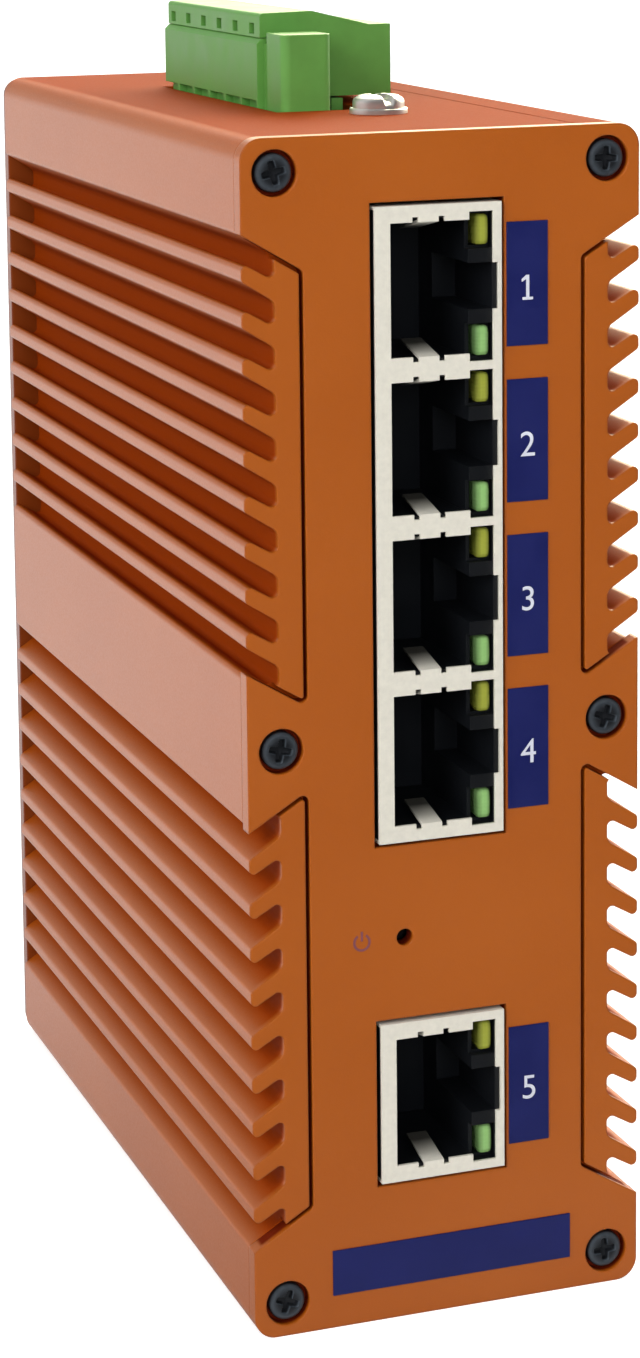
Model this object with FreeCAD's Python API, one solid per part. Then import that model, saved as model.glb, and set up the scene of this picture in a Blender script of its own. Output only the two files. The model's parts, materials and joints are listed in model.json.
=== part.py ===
"""DIN-rail Ethernet switch: finned case, five sockets, plug-in power terminal, rail clip.

Frame: millimetres, +X to the right of the front face, +Y into the case, +Z up.
The origin is the middle of the underside.  Front plate at -Y, rail clip at +Y.
"""
import FreeCAD, Part
import math
import os

Vector = FreeCAD.Vector

# ---------------------------------------------------------------- case
WIDTH = 37.2                # outer width of the case, X
HEIGHT = 107.4              # outer height of the case, Z
DEPTH = 83.0                # front plate's face to rear cover's face, Y
EDGE_RADIUS = 2.0           # long edges of the extrusions
PLATE_THICKNESS = 1.6
COVER_THICKNESS = 1.5
COVER_INSET = 0.25          # rear cover stands in from the case all round
SIDE_WALL = 6.2             # side wall with its fins
TOP_WALL = 2.4              # top and bottom walls
INNER_RADIUS = 1.0
SEAM_GAP = 0.15             # joint line between channel and side panel
LAP_LENGTH = 1.8            # panel's lips under the channel's top and bottom walls
LAP_THICKNESS = 1.4
LAP_GAP = 0.1

# ---------------------------------------------------------------- fins
FIN_PITCH = 4.0
GROOVE_MOUTH = 2.4
GROOVE_DEPTH = 3.0
FIN_SLOPE = math.radians(31.0)      # fins rise outwards above the middle, fall below it
GROOVE_FLARE = math.radians(1.5)    # each groove wall opens by this much
FIN_MARGIN = 8.2            # plain band above the top groove and below the lowest
MIDDLE_BAND = 14.0          # least plain band between the upper and lower grooves
TIP_RADIUS = 0.45
ROOT_RADIUS_WIDE = 0.9
ROOT_RADIUS_TIGHT = 0.5
NOTCH_DEPTH = 5.6           # front plate's side notches, where the fin ends show
NOTCH_RADIUS = 0.6
NOTCH_GAP = 0.4             # dark line between plate and fin ends

# ---------------------------------------------------------------- case screws
SCREW_INSET_X = 3.09
SCREW_INSET_Z = 3.05
SCREW_HEAD_D = 3.4
SCREW_HEAD_H = 1.15
SCREW_SHANK_D = 2.3
SCREW_LENGTH = 8.0          # under the head
SCREW_POCKET_D = 4.1        # counterbore round the head
SCREW_WEB = 0.35            # plate left under the counterbore
SHANK_CLEARANCE = 0.1       # on diameter, shank in its bore
BORE_SPARE = 1.0            # bore runs on past the screw's tip
RECESS_SPAN = 2.5           # cross recess, tip to tip
RECESS_WIDTH = 0.55
RECESS_DEPTH = 0.75

# ---------------------------------------------------------------- board
BOARD_THICKNESS = 1.6
BOARD_FACE_INSET = 12.05    # component face, from the case's left side
BOARD_FRONT_GAP = 1.4       # board's front edge behind the front plate
BOARD_REAR_GAP = 4.0
BOARD_EDGE_GAP = 0.3        # board's long edges in their guides
GUIDE_HEIGHT = 2.0
GUIDE_THICKNESS = 1.2
GUIDE_GAP = 0.15

# ---------------------------------------------------------------- sockets
PORT_PITCH = 13.97
BLOCK_PORTS = 4
BLOCK_TOP_INSET = 6.35      # ganged jack's end under the case's top
SINGLE_CENTRE_Z = 20.3
JACK_HEIGHT = 11.85         # off the board, X
JACK_DEPTH = 21.5
JACK_END = 7.4              # outermost port's centre to the end of the jack
JACK_PROUD = 0.3            # jack's face in front of the plate
JACK_WINDOW_GAP = 0.35      # plate's window round the jack
SHELL_THICKNESS = 0.3
SHELL_FIT = 0.05            # moulded body inside its shell
PORT_FLOOR = 1.45           # board face to the contact side of the opening
PORT_SHOULDER = 8.8         # board face to where the opening widens for the lamps
PORT_CEILING = 11.05        # far side of the lamp windows
LATCH_CEILING = 11.5        # far side of the latch notch
PORT_HALF = 5.9
LAMP_WINDOW_HALF = 6.6
LATCH_HALF = 2.05
CAVITY_SIDE_ROOM = 0.25     # moulded cavity is wider than the shell's opening
CAVITY_DEPTH = 12.3
LATCH_ROOM_DEPTH = 9.0
TAB_FIRST = 4.05            # grounding tabs, from the board face
TAB_WIDTH = 1.9
TAB_LENGTH = 4.5
TAB_DROP = 1.0
TAB_THICKNESS = 0.2
TAB_SLIT = 0.55             # slits each side of a tab
TAB_SLIT_DEPTH = 0.45
CONTACTS_PER_PORT = 8
CONTACT_PITCH = 1.02
CONTACT_WIDTH = 0.45
CONTACT_THICKNESS = 0.3
CONTACT_FRONT = 3.2         # bend of the contact, behind the jack's face
CONTACT_TIP_DEPTH = 10.3
CONTACT_RISE = 2.75         # tip above the socket's floor

# ---------------------------------------------------------------- lamps
LAMP_NEAR = 9.2             # light bars, from the board face
LAMP_HEIGHT = 1.35
LAMP_INNER = 3.55           # nearer edge, from the port's centre
LAMP_WIDTH = 2.7
LAMP_RECESS = 0.5           # bar's face behind the shell's face
LAMP_LENGTH = 9.5
LAMP_WINDOW_INNER = 3.3
LAMP_WINDOW_DEPTH = 1.2
LAMP_FIT = 0.05
POWER_HOLE_D = 1.55
POWER_INSET = 14.48         # power lamp's axis, from the left side
POWER_DROP = 0.5            # under the middle of the space between the jacks
POWER_LAMP_D = 3.0
POWER_LAMP_LENGTH = 5.3
POWER_LAMP_GAP = 0.4        # dome behind the plate
LEAD_SIZE = 0.5
LEAD_SPACING = 1.27         # half distance between the lamp's two leads
LEAD_RUN = 2.0

# ---------------------------------------------------------------- labels
LABEL_THICKNESS = 0.12
LABEL_INSET = 24.45         # left edge, from the case's left side
LABEL_WIDTH = 3.9
LABEL_HEIGHT = 11.0
NAME_PLATE_INSET = 7.35
NAME_PLATE_WIDTH = 23.1
NAME_PLATE_HEIGHT = 4.2
NAME_PLATE_Z = 5.15

# ---------------------------------------------------------------- power terminal
POLES = 6
POLE_PITCH = 5.08
TERMINAL_FRONT = 31.2       # first pole's outer face, behind the front plate's face
HEADER_HEIGHT = 8.6         # off the board, X
HEADER_BELOW = 7.6          # header's back under the case's top
HEADER_ABOVE = 6.5          # header's rim over the case's top
HEADER_FLOOR = 4.7
HEADER_WALL = 1.15
HEADER_RIM_CHAMFER = 0.5
HEADER_END_TRIM = 0.6       # header's rear end short of the last pole's pitch
HEADER_LOW_RIM = 0.6        # wall under the plug's overhang, over the case's top
FOOT_HEIGHT = 0.6           # small arches where the header meets the case
FOOT_WIDTH = 4.4
FOOT_DEPTH = 0.8
BOSS_LENGTH = 5.2           # coding boss at the header's front end
BOSS_WIDTH = 4.9
BOSS_INSET = 0.4            # from the board face
BOSS_RISE = 0.6             # over the header's rim
BOSS_RADIUS = 0.8
NECK_LENGTH = 1.1
NECK_WIDTH = 3.0
NECK_INSET = 0.75           # its left part joins the end of the header's wall
CUTOUT_GAP = 0.3            # case's opening round the header
PIN_SIZE = 1.0
PIN_AXIS = 4.35             # pins, from the board face
PIN_RISE = 1.1              # pins' lower run, over the header's back
PIN_TIP_BELOW_RIM = 3.2
PIN_TAIL = 1.2              # pin's tail behind the board
PIN_HOLE_D = 1.7
PLUG_FIT = 0.15             # plug's nose in the header
PLUG_SEAT = 0.05            # plug's upper part over the header's rim
PLUG_OVERHANG = 13.55       # plug's far side, from the board face
PLUG_SET_BACK = 0.35        # plug's near side, behind the header's wall
PLUG_LIFT = 0.8             # plug's overhang over the case's top
PLUG_RISE = 2.35            # plug's upper part over the header's rim, at the near side
CROWN_OFFSET = 5.6          # highest line of the plug, from the board face
CROWN_RISE = 0.12
SHOULDER_OFFSET = 11.4
SHOULDER_DROP = 1.3
PLUG_RADIUS = 0.4
SLOT_WIDTH = 1.5            # release slots, one for each pole
SLOT_HEIGHT = 1.0
SLOT_LIFT = 0.35            # over the header's rim
SLOT_DEPTH = 1.0
WIRE_ENTRY_WIDTH = 3.5
WIRE_ENTRY_HEIGHT = 3.7
WIRE_ENTRY_LIFT = 1.1       # over the plug's overhang underside
WIRE_FUNNEL = 0.5
CAGE_NEAR = 5.3             # clamp cages, from the board face
CAGE_LENGTH = 4.6
CAGE_WIDTH = 3.0
CAGE_WALL = 0.5
CAGE_FIT = 0.05
CLAMP_SCREW_D = 2.0
CLAMP_HEAD_D = 3.2
CLAMP_HEAD_H = 1.0
CLAMP_WELL_D = 3.6
CLAMP_HEAD_LIFT = 0.6
CLAMP_SLOT = 0.6
CLAMP_SLOT_DEPTH = 0.5

# ---------------------------------------------------------------- ground screw
GROUND_INSET = 20.1         # from the left side
GROUND_FRONT = 20.0         # behind the front plate's face
GROUND_HEAD_D = 4.8
GROUND_HEAD_H = 1.3
GROUND_SHANK_D = 3.0
GROUND_LENGTH = 5.0
GROUND_WASHER_D = 5.4
GROUND_WASHER_H = 0.5
GROUND_SLOT = 1.0
GROUND_SLOT_DEPTH = 0.7

# ---------------------------------------------------------------- parts on the board
CHIP_SIZE = 14.0
CHIP_THICKNESS = 1.4
CHIP_Y = 2.0
CHIP_RISE = 2.3             # over the case's middle
INDUCTOR_SIZE = 10.0
INDUCTOR_THICKNESS = 5.0
INDUCTOR_RADIUS = 1.5
INDUCTOR_FROM_REAR = 19.5
INDUCTOR_INSET = 35.4       # under the case's top
CAPACITOR_D = 8.0
CAPACITOR_HEIGHT = 10.2
CAPACITOR_FROM_REAR = 19.5
CAPACITOR_INSET = 17.4      # under the case's top
CAPACITOR_SPACING = 11.0
CRYSTAL_LENGTH = 11.0
CRYSTAL_WIDTH = 4.6
CRYSTAL_THICKNESS = 3.5
CRYSTAL_Y = 2.0
CRYSTAL_DROP = 16.0         # under the chip

# ---------------------------------------------------------------- rail clip
RAIL_WIDTH = 35.0           # top-hat rail, across its lips
RAIL_LIP = 1.0
RAIL_LIP_ROOM = 0.3
CLIP_WIDTH = 30.0
CLIP_THICKNESS = 4.5
CLIP_ABOVE = 6.8            # clip over the rail's upper edge
CLIP_BELOW = 14.2           # clip under the rail's lower edge
HOOK_BLOCK = 4.3            # solid part of the hook over the rail
HOOK_REACH = 3.5            # hook and catch stand off the rail's seat by this much
HOOK_LAP = 2.7              # lip in front of the rail's edge
RAIL_EDGE_GAP = 0.3
LATCH_WIDTH = 16.0
LATCH_FACE_WIDTH = 11.0
LATCH_FLANGE_THICKNESS = 1.6
LATCH_SEAT = 0.9            # wall of the clip behind the latch
LATCH_GAP = 0.15            # running room each side of the latch
LATCH_TOP_ABOVE = 9.8       # latch's top over the rail's lower edge
LATCH_TAIL = 12.0           # pull end under the clip
LATCH_TRAVEL = 4.0
CATCH_BLOCK = 4.4
CATCH_CHAMFER = 1.4
TAIL_SLOT_WIDTH = 6.0
TAIL_SLOT_HEIGHT = 2.6
TAIL_SLOT_MARGIN = 3.0
SPRING_D = 3.5
SPRING_WIRE = 0.5
SPRING_LENGTH = 15.0
SPRING_TURNS = 6
SPRING_POCKET = 0.5         # room round the spring
PEG_HEIGHT = 2.4
PEG_WIDTH = 3.6
CLIP_SCREW_X = 11.6
CLIP_SCREW_Z = 16.0         # above and below the rail's centre
CLIP_SCREW_D = 3.0
CLIP_SCREW_HEAD_D = 5.6
CLIP_SCREW_CONE = 1.5

# ---------------------------------------------------------------- places
LEFT = -WIDTH / 2
RIGHT = WIDTH / 2
FRONT = -DEPTH / 2
REAR = DEPTH / 2
MIDDLE_Z = HEIGHT / 2
GROOVE_COUNT = 1 + int((MIDDLE_Z - FIN_MARGIN - MIDDLE_BAND / 2 - GROOVE_MOUTH) / FIN_PITCH)
FRONT_SEAT = FRONT + PLATE_THICKNESS
REAR_SEAT = REAR - COVER_THICKNESS
SEAM_X = RIGHT - NOTCH_DEPTH
FIN_TOP = HEIGHT - FIN_MARGIN
FIN_SPAN = (GROOVE_COUNT - 1) * FIN_PITCH + GROOVE_MOUTH
BOARD_FACE = LEFT + BOARD_FACE_INSET
JACK_FACE = FRONT - JACK_PROUD
HEADER_Y0 = FRONT + TERMINAL_FRONT
HEADER_Y1 = HEADER_Y0 + POLES * POLE_PITCH - HEADER_END_TRIM
HEADER_BASE = HEIGHT - HEADER_BELOW
HEADER_RIM = HEIGHT + HEADER_ABOVE
BLOCK_PORT_Z = [HEIGHT - BLOCK_TOP_INSET - JACK_END - i * PORT_PITCH for i in range(BLOCK_PORTS)]
POWER_Z = (BLOCK_PORT_Z[-1] + SINGLE_CENTRE_Z) / 2 - POWER_DROP
CHIP_Z = MIDDLE_Z + CHIP_RISE
CRYSTAL_Z = CHIP_Z - CRYSTAL_DROP
INDUCTOR_Y = REAR - INDUCTOR_FROM_REAR
INDUCTOR_Z = HEIGHT - INDUCTOR_INSET
CAPACITOR_Y = REAR - CAPACITOR_FROM_REAR
CAPACITOR_Z = HEIGHT - CAPACITOR_INSET
ALL_PORT_Z = BLOCK_PORT_Z + [SINGLE_CENTRE_Z]
CLIP_SCREW_LENGTH = CLIP_THICKNESS + COVER_THICKNESS
POLE_Y = [HEADER_Y0 + (i + 0.5) * POLE_PITCH for i in range(POLES)]
PAST = 1.0                  # how far a cutting tool runs past the face it cuts


# ---------------------------------------------------------------- helpers
def box(x0, x1, y0, y1, z0, z1):
    """A block between two corners."""
    return Part.makeBox(x1 - x0, y1 - y0, z1 - z0, Vector(x0, y0, z0))


def cylinder(centre, axis, diameter, length):
    """A round bar from a centre point along an axis."""
    return Part.makeCylinder(diameter / 2, length, Vector(*centre), Vector(*axis))


def cone(centre, axis, diameter_0, diameter_1, length):
    """A round taper from a centre point along an axis."""
    return Part.makeCone(diameter_0 / 2, diameter_1 / 2, length, Vector(*centre), Vector(*axis))


def fuse_all(shapes):
    """One solid from overlapping or touching ones."""
    whole = shapes[0]
    if len(shapes) > 1:
        whole = whole.multiFuse(shapes[1:])
    return whole.removeSplitter()


def rounded_wire(corners):
    """A closed wire of straight runs with a tangent arc at each corner (a, b, radius)."""
    points = [Vector(a, b, 0) for a, b, _ in corners]
    edges = []
    starts, ends = [], []
    count = len(corners)
    for i, (_, _, radius) in enumerate(corners):
        corner = points[i]
        back = (points[i - 1] - corner).normalize()
        ahead = (points[(i + 1) % count] - corner).normalize()
        if radius <= 0:
            starts.append(corner)
            ends.append(corner)
            continue
        half = back.getAngle(ahead) / 2
        reach = radius / math.tan(half)
        starts.append(corner + back * reach)
        ends.append(corner + ahead * reach)
        middle = (back + ahead).normalize() * (radius / math.sin(half) - radius)
        edges.append((i, Part.Arc(starts[i], corner + middle, ends[i]).toShape()))
    for i in range(count):
        nxt = (i + 1) % count
        if ends[i].distanceToPoint(starts[nxt]) > 1e-6:
            edges.append((i + 0.5, Part.makeLine(ends[i], starts[nxt])))
    edges.sort(key=lambda item: item[0])
    return Part.Wire([edge for _, edge in edges])


def prism_y(corners, y0, y1):
    """A profile drawn in X and Z, carried along Y."""
    face = Part.Face(rounded_wire(corners))
    face.rotate(Vector(0, 0, 0), Vector(1, 0, 0), 90)
    face.translate(Vector(0, y0, 0))
    return face.extrude(Vector(0, y1 - y0, 0))


def prism_x(corners, x0, x1):
    """A profile drawn in Y and Z, carried along X."""
    face = Part.Face(rounded_wire(corners))
    face.rotate(Vector(0, 0, 0), Vector(1, 1, 1), 120)
    face.translate(Vector(x0, 0, 0))
    return face.extrude(Vector(x1 - x0, 0, 0))


def prism_z(corners, z0, z1):
    """A profile drawn in X and Y, carried along Z."""
    face = Part.Face(rounded_wire(corners))
    face.translate(Vector(0, 0, z0))
    return face.extrude(Vector(0, 0, z1 - z0))


def rectangle(a0, a1, b0, b1, radius=0.0):
    """Corners of an upright rectangle."""
    return [(a0, b0, radius), (a1, b0, radius), (a1, b1, radius), (a0, b1, radius)]


def save(name, solids):
    """Write one named sub-part, of one or more separate solids."""
    shape = solids[0] if len(solids) == 1 else Part.makeCompound(solids)
    shape.exportStep("parts/" + name + ".step")
    print(name, "solids", len(shape.Solids), "volume", round(shape.Volume, 2), "valid", shape.isValid())


# ---------------------------------------------------------------- extruded case
def groove_corners():
    """Corners (inset, height, radius) of one finned side, from the bottom up."""
    drop_high = GROOVE_DEPTH * math.tan(FIN_SLOPE + GROOVE_FLARE)
    drop_low = GROOVE_DEPTH * math.tan(FIN_SLOPE - GROOVE_FLARE)
    upper = []
    for i in reversed(range(GROOVE_COUNT)):
        high = FIN_TOP - i * FIN_PITCH
        low = high - GROOVE_MOUTH
        upper.append((0, low, TIP_RADIUS))
        upper.append((GROOVE_DEPTH, low - drop_low, ROOT_RADIUS_TIGHT))
        upper.append((GROOVE_DEPTH, high - drop_high, ROOT_RADIUS_WIDE))
        upper.append((0, high, TIP_RADIUS))
    lower = [(inset, HEIGHT - height, radius) for inset, height, radius in reversed(upper)]
    return lower + upper


def notch_corners(gap, upper):
    """One side notch of the front plate, drawn smaller by a gap for the fin ends in it."""
    slope = math.tan(FIN_SLOPE)
    shift = gap / math.cos(FIN_SLOPE)
    inner = NOTCH_DEPTH - gap
    high = FIN_TOP - shift
    low = FIN_TOP - FIN_SPAN + shift
    radius = max(NOTCH_RADIUS - gap, 0.1)
    corners = [
        (-PAST, high + PAST * slope, 0),
        (inner, high - inner * slope, radius),
        (inner, low - inner * slope, radius),
        (-PAST, low + PAST * slope, 0),
    ]
    if not upper:
        corners = [(inset, HEIGHT - height, radius) for inset, height, radius in corners]
    return corners


def on_side(side, corners):
    """Turn insets from a side face into X; side is -1 on the left, 1 on the right."""
    return [(side * (WIDTH / 2 - inset), height, radius) for inset, height, radius in corners]


def notch_blocks(gap, y0, y1):
    """The four notches as blocks along Y."""
    return [
        prism_y(on_side(side, notch_corners(gap, upper)), y0, y1)
        for side in (-1, 1)
        for upper in (True, False)
    ]


def screw_places(side):
    """Centres (X, Z) of the case screws on one side."""
    x = side * (WIDTH / 2 - SCREW_INSET_X)
    return [(x, z) for z in (SCREW_INSET_Z, MIDDLE_Z, HEIGHT - SCREW_INSET_Z)]


def machined(extrusion, side):
    """Cut the front seat for the plate and bore the screw holes in both ends."""
    seat = box(LEFT - PAST, RIGHT + PAST, FRONT - PAST, FRONT_SEAT, -PAST, HEIGHT + PAST)
    for pad in notch_blocks(NOTCH_GAP, FRONT - PAST, FRONT_SEAT):
        seat = seat.cut(pad)
    shape = extrusion.cut(seat)
    bore_d = SCREW_SHANK_D + SHANK_CLEARANCE
    depth = SCREW_LENGTH + BORE_SPARE
    for x, z in screw_places(side):
        shape = shape.cut(cylinder((x, FRONT_SEAT - PAST, z), (0, 1, 0), bore_d, depth + PAST))
        shape = shape.cut(cylinder((x, REAR_SEAT + PAST, z), (0, -1, 0), bore_d, depth + PAST))
    return shape


def guide_ribs():
    """Ribs on the top and bottom walls that hold the board's long edges."""
    board_back = BOARD_FACE - BOARD_THICKNESS
    ribs = []
    for x0 in (board_back - GUIDE_GAP - GUIDE_THICKNESS, BOARD_FACE + GUIDE_GAP):
        for z0 in (TOP_WALL, HEIGHT - TOP_WALL - GUIDE_HEIGHT):
            ribs.append(box(x0, x0 + GUIDE_THICKNESS, FRONT, REAR_SEAT, z0, z0 + GUIDE_HEIGHT))
    return ribs


def make_main_channel():
    """Extruded channel: finned left wall, top and bottom walls, board guides."""
    edge = SEAM_X - SEAM_GAP / 2
    fins = on_side(-1, groove_corners())
    corners = [(edge, 0, 0), (LEFT, 0, EDGE_RADIUS)]
    corners += fins
    corners += [
        (LEFT, HEIGHT, EDGE_RADIUS),
        (edge, HEIGHT, 0),
        (edge, HEIGHT - TOP_WALL, 0),
        (LEFT + SIDE_WALL, HEIGHT - TOP_WALL, INNER_RADIUS),
        (LEFT + SIDE_WALL, TOP_WALL, INNER_RADIUS),
        (edge, TOP_WALL, 0),
    ]
    shape = fuse_all([prism_y(corners, FRONT, REAR_SEAT)] + guide_ribs())
    shape = machined(shape, -1)
    cutout = box(
        BOARD_FACE - CUTOUT_GAP, BOARD_FACE + HEADER_HEIGHT + CUTOUT_GAP,
        HEADER_Y0 - NECK_LENGTH - BOSS_LENGTH - CUTOUT_GAP, HEADER_Y1 + CUTOUT_GAP,
        HEIGHT - TOP_WALL - GUIDE_HEIGHT - PAST, HEIGHT + PAST)
    ground = cylinder(
        (LEFT + GROUND_INSET, FRONT + GROUND_FRONT, HEIGHT - TOP_WALL - PAST), (0, 0, 1),
        GROUND_SHANK_D + SHANK_CLEARANCE, TOP_WALL + 2 * PAST)
    return shape.cut(cutout).cut(ground)


def make_side_panel():
    """Extruded right side: finned wall with lips that lap under the channel's walls."""
    edge = SEAM_X + SEAM_GAP / 2
    inner = RIGHT - SIDE_WALL
    lip_end = SEAM_X - LAP_LENGTH
    lip_low = TOP_WALL + LAP_GAP
    lip_high = HEIGHT - TOP_WALL - LAP_GAP
    corners = [(edge, 0, 0), (RIGHT, 0, EDGE_RADIUS)]
    corners += on_side(1, groove_corners())
    corners += [
        (RIGHT, HEIGHT, EDGE_RADIUS),
        (edge, HEIGHT, 0),
        (edge, lip_high, 0),
        (lip_end, lip_high, 0),
        (lip_end, lip_high - LAP_THICKNESS, 0),
        (inner, lip_high - LAP_THICKNESS, 0),
        (inner, lip_low + LAP_THICKNESS, 0),
        (lip_end, lip_low + LAP_THICKNESS, 0),
        (lip_end, lip_low, 0),
        (edge, lip_low, 0),
    ]
    return machined(prism_y(corners, FRONT, REAR_SEAT), 1)


# ---------------------------------------------------------------- front plate and rear cover
def jack_spans():
    """Lowest and highest Z of the ganged jack and of the single jack."""
    return [
        (BLOCK_PORT_Z[-1] - JACK_END, BLOCK_PORT_Z[0] + JACK_END),
        (SINGLE_CENTRE_Z - JACK_END, SINGLE_CENTRE_Z + JACK_END),
    ]


def make_front_plate():
    """Flat plate with side notches, jack windows, lamp hole and sunk screw holes."""
    shape = prism_y(rectangle(LEFT, RIGHT, 0, HEIGHT, EDGE_RADIUS), FRONT, FRONT_SEAT)
    cuts = notch_blocks(0, FRONT - PAST, FRONT_SEAT + PAST)
    for z0, z1 in jack_spans():
        cuts.append(box(
            BOARD_FACE - JACK_WINDOW_GAP, BOARD_FACE + JACK_HEIGHT + JACK_WINDOW_GAP,
            FRONT - PAST, FRONT_SEAT + PAST, z0 - JACK_WINDOW_GAP, z1 + JACK_WINDOW_GAP))
    through = PLATE_THICKNESS + 2 * PAST
    cuts.append(cylinder((LEFT + POWER_INSET, FRONT - PAST, POWER_Z), (0, 1, 0), POWER_HOLE_D, through))
    for side in (-1, 1):
        for x, z in screw_places(side):
            pocket = PLATE_THICKNESS - SCREW_WEB + PAST
            cuts.append(cylinder((x, FRONT - PAST, z), (0, 1, 0), SCREW_POCKET_D, pocket))
            hole_d = SCREW_SHANK_D + SHANK_CLEARANCE
            cuts.append(cylinder((x, FRONT - PAST, z), (0, 1, 0), hole_d, through))
    for cut in cuts:
        shape = shape.cut(cut)
    return shape


def clip_screw_places():
    """Centres (X, Z) of the four screws that hold the rail clip."""
    return [(x, MIDDLE_Z + z) for x in (-CLIP_SCREW_X, CLIP_SCREW_X) for z in (-CLIP_SCREW_Z, CLIP_SCREW_Z)]


def make_rear_cover():
    """Plate that closes the back and carries the rail clip."""
    low, high = COVER_INSET, HEIGHT - COVER_INSET
    outline = rectangle(LEFT + COVER_INSET, RIGHT - COVER_INSET, low, high, EDGE_RADIUS - COVER_INSET)
    shape = prism_y(outline, REAR_SEAT, REAR)
    through = COVER_THICKNESS + 2 * PAST
    for side in (-1, 1):
        for x, z in screw_places(side):
            pocket = COVER_THICKNESS - SCREW_WEB + PAST
            shape = shape.cut(cylinder((x, REAR + PAST, z), (0, -1, 0), SCREW_POCKET_D, pocket))
            hole_d = SCREW_SHANK_D + SHANK_CLEARANCE
            shape = shape.cut(cylinder((x, REAR + PAST, z), (0, -1, 0), hole_d, through))
    for x, z in clip_screw_places():
        hole_d = CLIP_SCREW_D + SHANK_CLEARANCE
        shape = shape.cut(cylinder((x, REAR + PAST, z), (0, -1, 0), hole_d, through))
    return shape


# ---------------------------------------------------------------- screws
def cross_recess(x, y, z, direction):
    """Two crossed bars that cut a driver's recess into a head facing along Y."""
    y0, y1 = sorted((y - direction * PAST, y + direction * RECESS_DEPTH))
    span, width = RECESS_SPAN / 2, RECESS_WIDTH / 2
    bars = [
        box(x - span, x + span, y0, y1, z - width, z + width),
        box(x - width, x + width, y0, y1, z - span, z + span),
    ]
    return fuse_all(bars)


def case_screw(x, z, seat_y, direction):
    """Cylinder-head screw; direction is along Y, from the head to the tip."""
    head = cylinder((x, seat_y, z), (0, -direction, 0), SCREW_HEAD_D, SCREW_HEAD_H)
    shank = cylinder((x, seat_y, z), (0, direction, 0), SCREW_SHANK_D, SCREW_LENGTH)
    screw = fuse_all([head, shank])
    return screw.cut(cross_recess(x, seat_y - direction * SCREW_HEAD_H, z, direction))


def make_case_screws(seat_y, direction):
    """The six screws of one end of the case."""
    return [case_screw(x, z, seat_y, direction) for side in (-1, 1) for x, z in screw_places(side)]


# ---------------------------------------------------------------- labels
def make_port_labels():
    """A blue label beside each socket."""
    x0 = LEFT + LABEL_INSET
    half = LABEL_HEIGHT / 2
    y0 = FRONT - LABEL_THICKNESS
    return [box(x0, x0 + LABEL_WIDTH, y0, FRONT, z - half, z + half) for z in ALL_PORT_Z]


def make_name_plate():
    """A plain blue strip under the lowest socket."""
    x0 = LEFT + NAME_PLATE_INSET
    half = NAME_PLATE_HEIGHT / 2
    return box(
        x0, x0 + NAME_PLATE_WIDTH, FRONT - LABEL_THICKNESS, FRONT,
        NAME_PLATE_Z - half, NAME_PLATE_Z + half)


# ---------------------------------------------------------------- board
def make_main_board():
    """Printed circuit board that stands in the channel's guides."""
    shape = box(
        BOARD_FACE - BOARD_THICKNESS, BOARD_FACE, FRONT_SEAT + BOARD_FRONT_GAP, REAR_SEAT - BOARD_REAR_GAP,
        TOP_WALL + BOARD_EDGE_GAP, HEIGHT - TOP_WALL - BOARD_EDGE_GAP)
    for y in POLE_Y:
        centre = (BOARD_FACE + PAST, y, pin_height())
        shape = shape.cut(cylinder(centre, (-1, 0, 0), PIN_HOLE_D, BOARD_THICKNESS + 2 * PAST))
    for z in (POWER_Z - LEAD_SPACING, POWER_Z + LEAD_SPACING):
        centre = (BOARD_FACE + PAST, power_lead_y(), z)
        shape = shape.cut(cylinder(centre, (-1, 0, 0), 2 * LEAD_SIZE, BOARD_THICKNESS + 2 * PAST))
    return shape


def make_switch_chip():
    """Switching chip on the board."""
    half = CHIP_SIZE / 2
    return box(
        BOARD_FACE, BOARD_FACE + CHIP_THICKNESS, CHIP_Y - half, CHIP_Y + half, CHIP_Z - half, CHIP_Z + half)


def make_power_inductor():
    """Coil of the supply converter, in a square rounded case."""
    half = INDUCTOR_SIZE / 2
    outline = rectangle(
        INDUCTOR_Y - half, INDUCTOR_Y + half, INDUCTOR_Z - half, INDUCTOR_Z + half, INDUCTOR_RADIUS)
    return prism_x(outline, BOARD_FACE, BOARD_FACE + INDUCTOR_THICKNESS)


def make_capacitors():
    """Two electrolytic cans that stand on the board."""
    return [
        cylinder((BOARD_FACE, y, CAPACITOR_Z), (1, 0, 0), CAPACITOR_D, CAPACITOR_HEIGHT)
        for y in (CAPACITOR_Y - CAPACITOR_SPACING, CAPACITOR_Y)
    ]


def make_crystal():
    """Clock crystal in its oval can."""
    y0, z0 = CRYSTAL_Y - CRYSTAL_LENGTH / 2, CRYSTAL_Z - CRYSTAL_WIDTH / 2
    outline = rectangle(y0, y0 + CRYSTAL_LENGTH, z0, z0 + CRYSTAL_WIDTH, 0.45 * CRYSTAL_WIDTH)
    return prism_x(outline, BOARD_FACE, BOARD_FACE + CRYSTAL_THICKNESS)


# ---------------------------------------------------------------- sockets
def port_opening(z):
    """The shell's opening for one socket: plug, lamp windows, latch notch and tab slits."""
    x = BOARD_FACE
    tab_0, tab_1 = x + TAB_FIRST, x + TAB_FIRST + TAB_WIDTH
    slit = PORT_HALF + TAB_SLIT_DEPTH
    half = [
        (x + LATCH_CEILING, LATCH_HALF),
        (x + PORT_CEILING, LATCH_HALF),
        (x + PORT_CEILING, LAMP_WINDOW_HALF),
        (x + PORT_SHOULDER, LAMP_WINDOW_HALF),
        (x + PORT_SHOULDER, PORT_HALF),
        (tab_1 + TAB_SLIT, PORT_HALF),
        (tab_1 + TAB_SLIT, slit),
        (tab_1, slit),
        (tab_1, PORT_HALF),
        (tab_0, PORT_HALF),
        (tab_0, slit),
        (tab_0 - TAB_SLIT, slit),
        (tab_0 - TAB_SLIT, PORT_HALF),
        (x + PORT_FLOOR, PORT_HALF),
    ]
    corners = [(a, z + b, 0) for a, b in half]
    corners += [(a, z - b, 0) for a, b in reversed(half)]
    return prism_y(corners, JACK_FACE - PAST, JACK_FACE + SHELL_THICKNESS + PAST)


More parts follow.
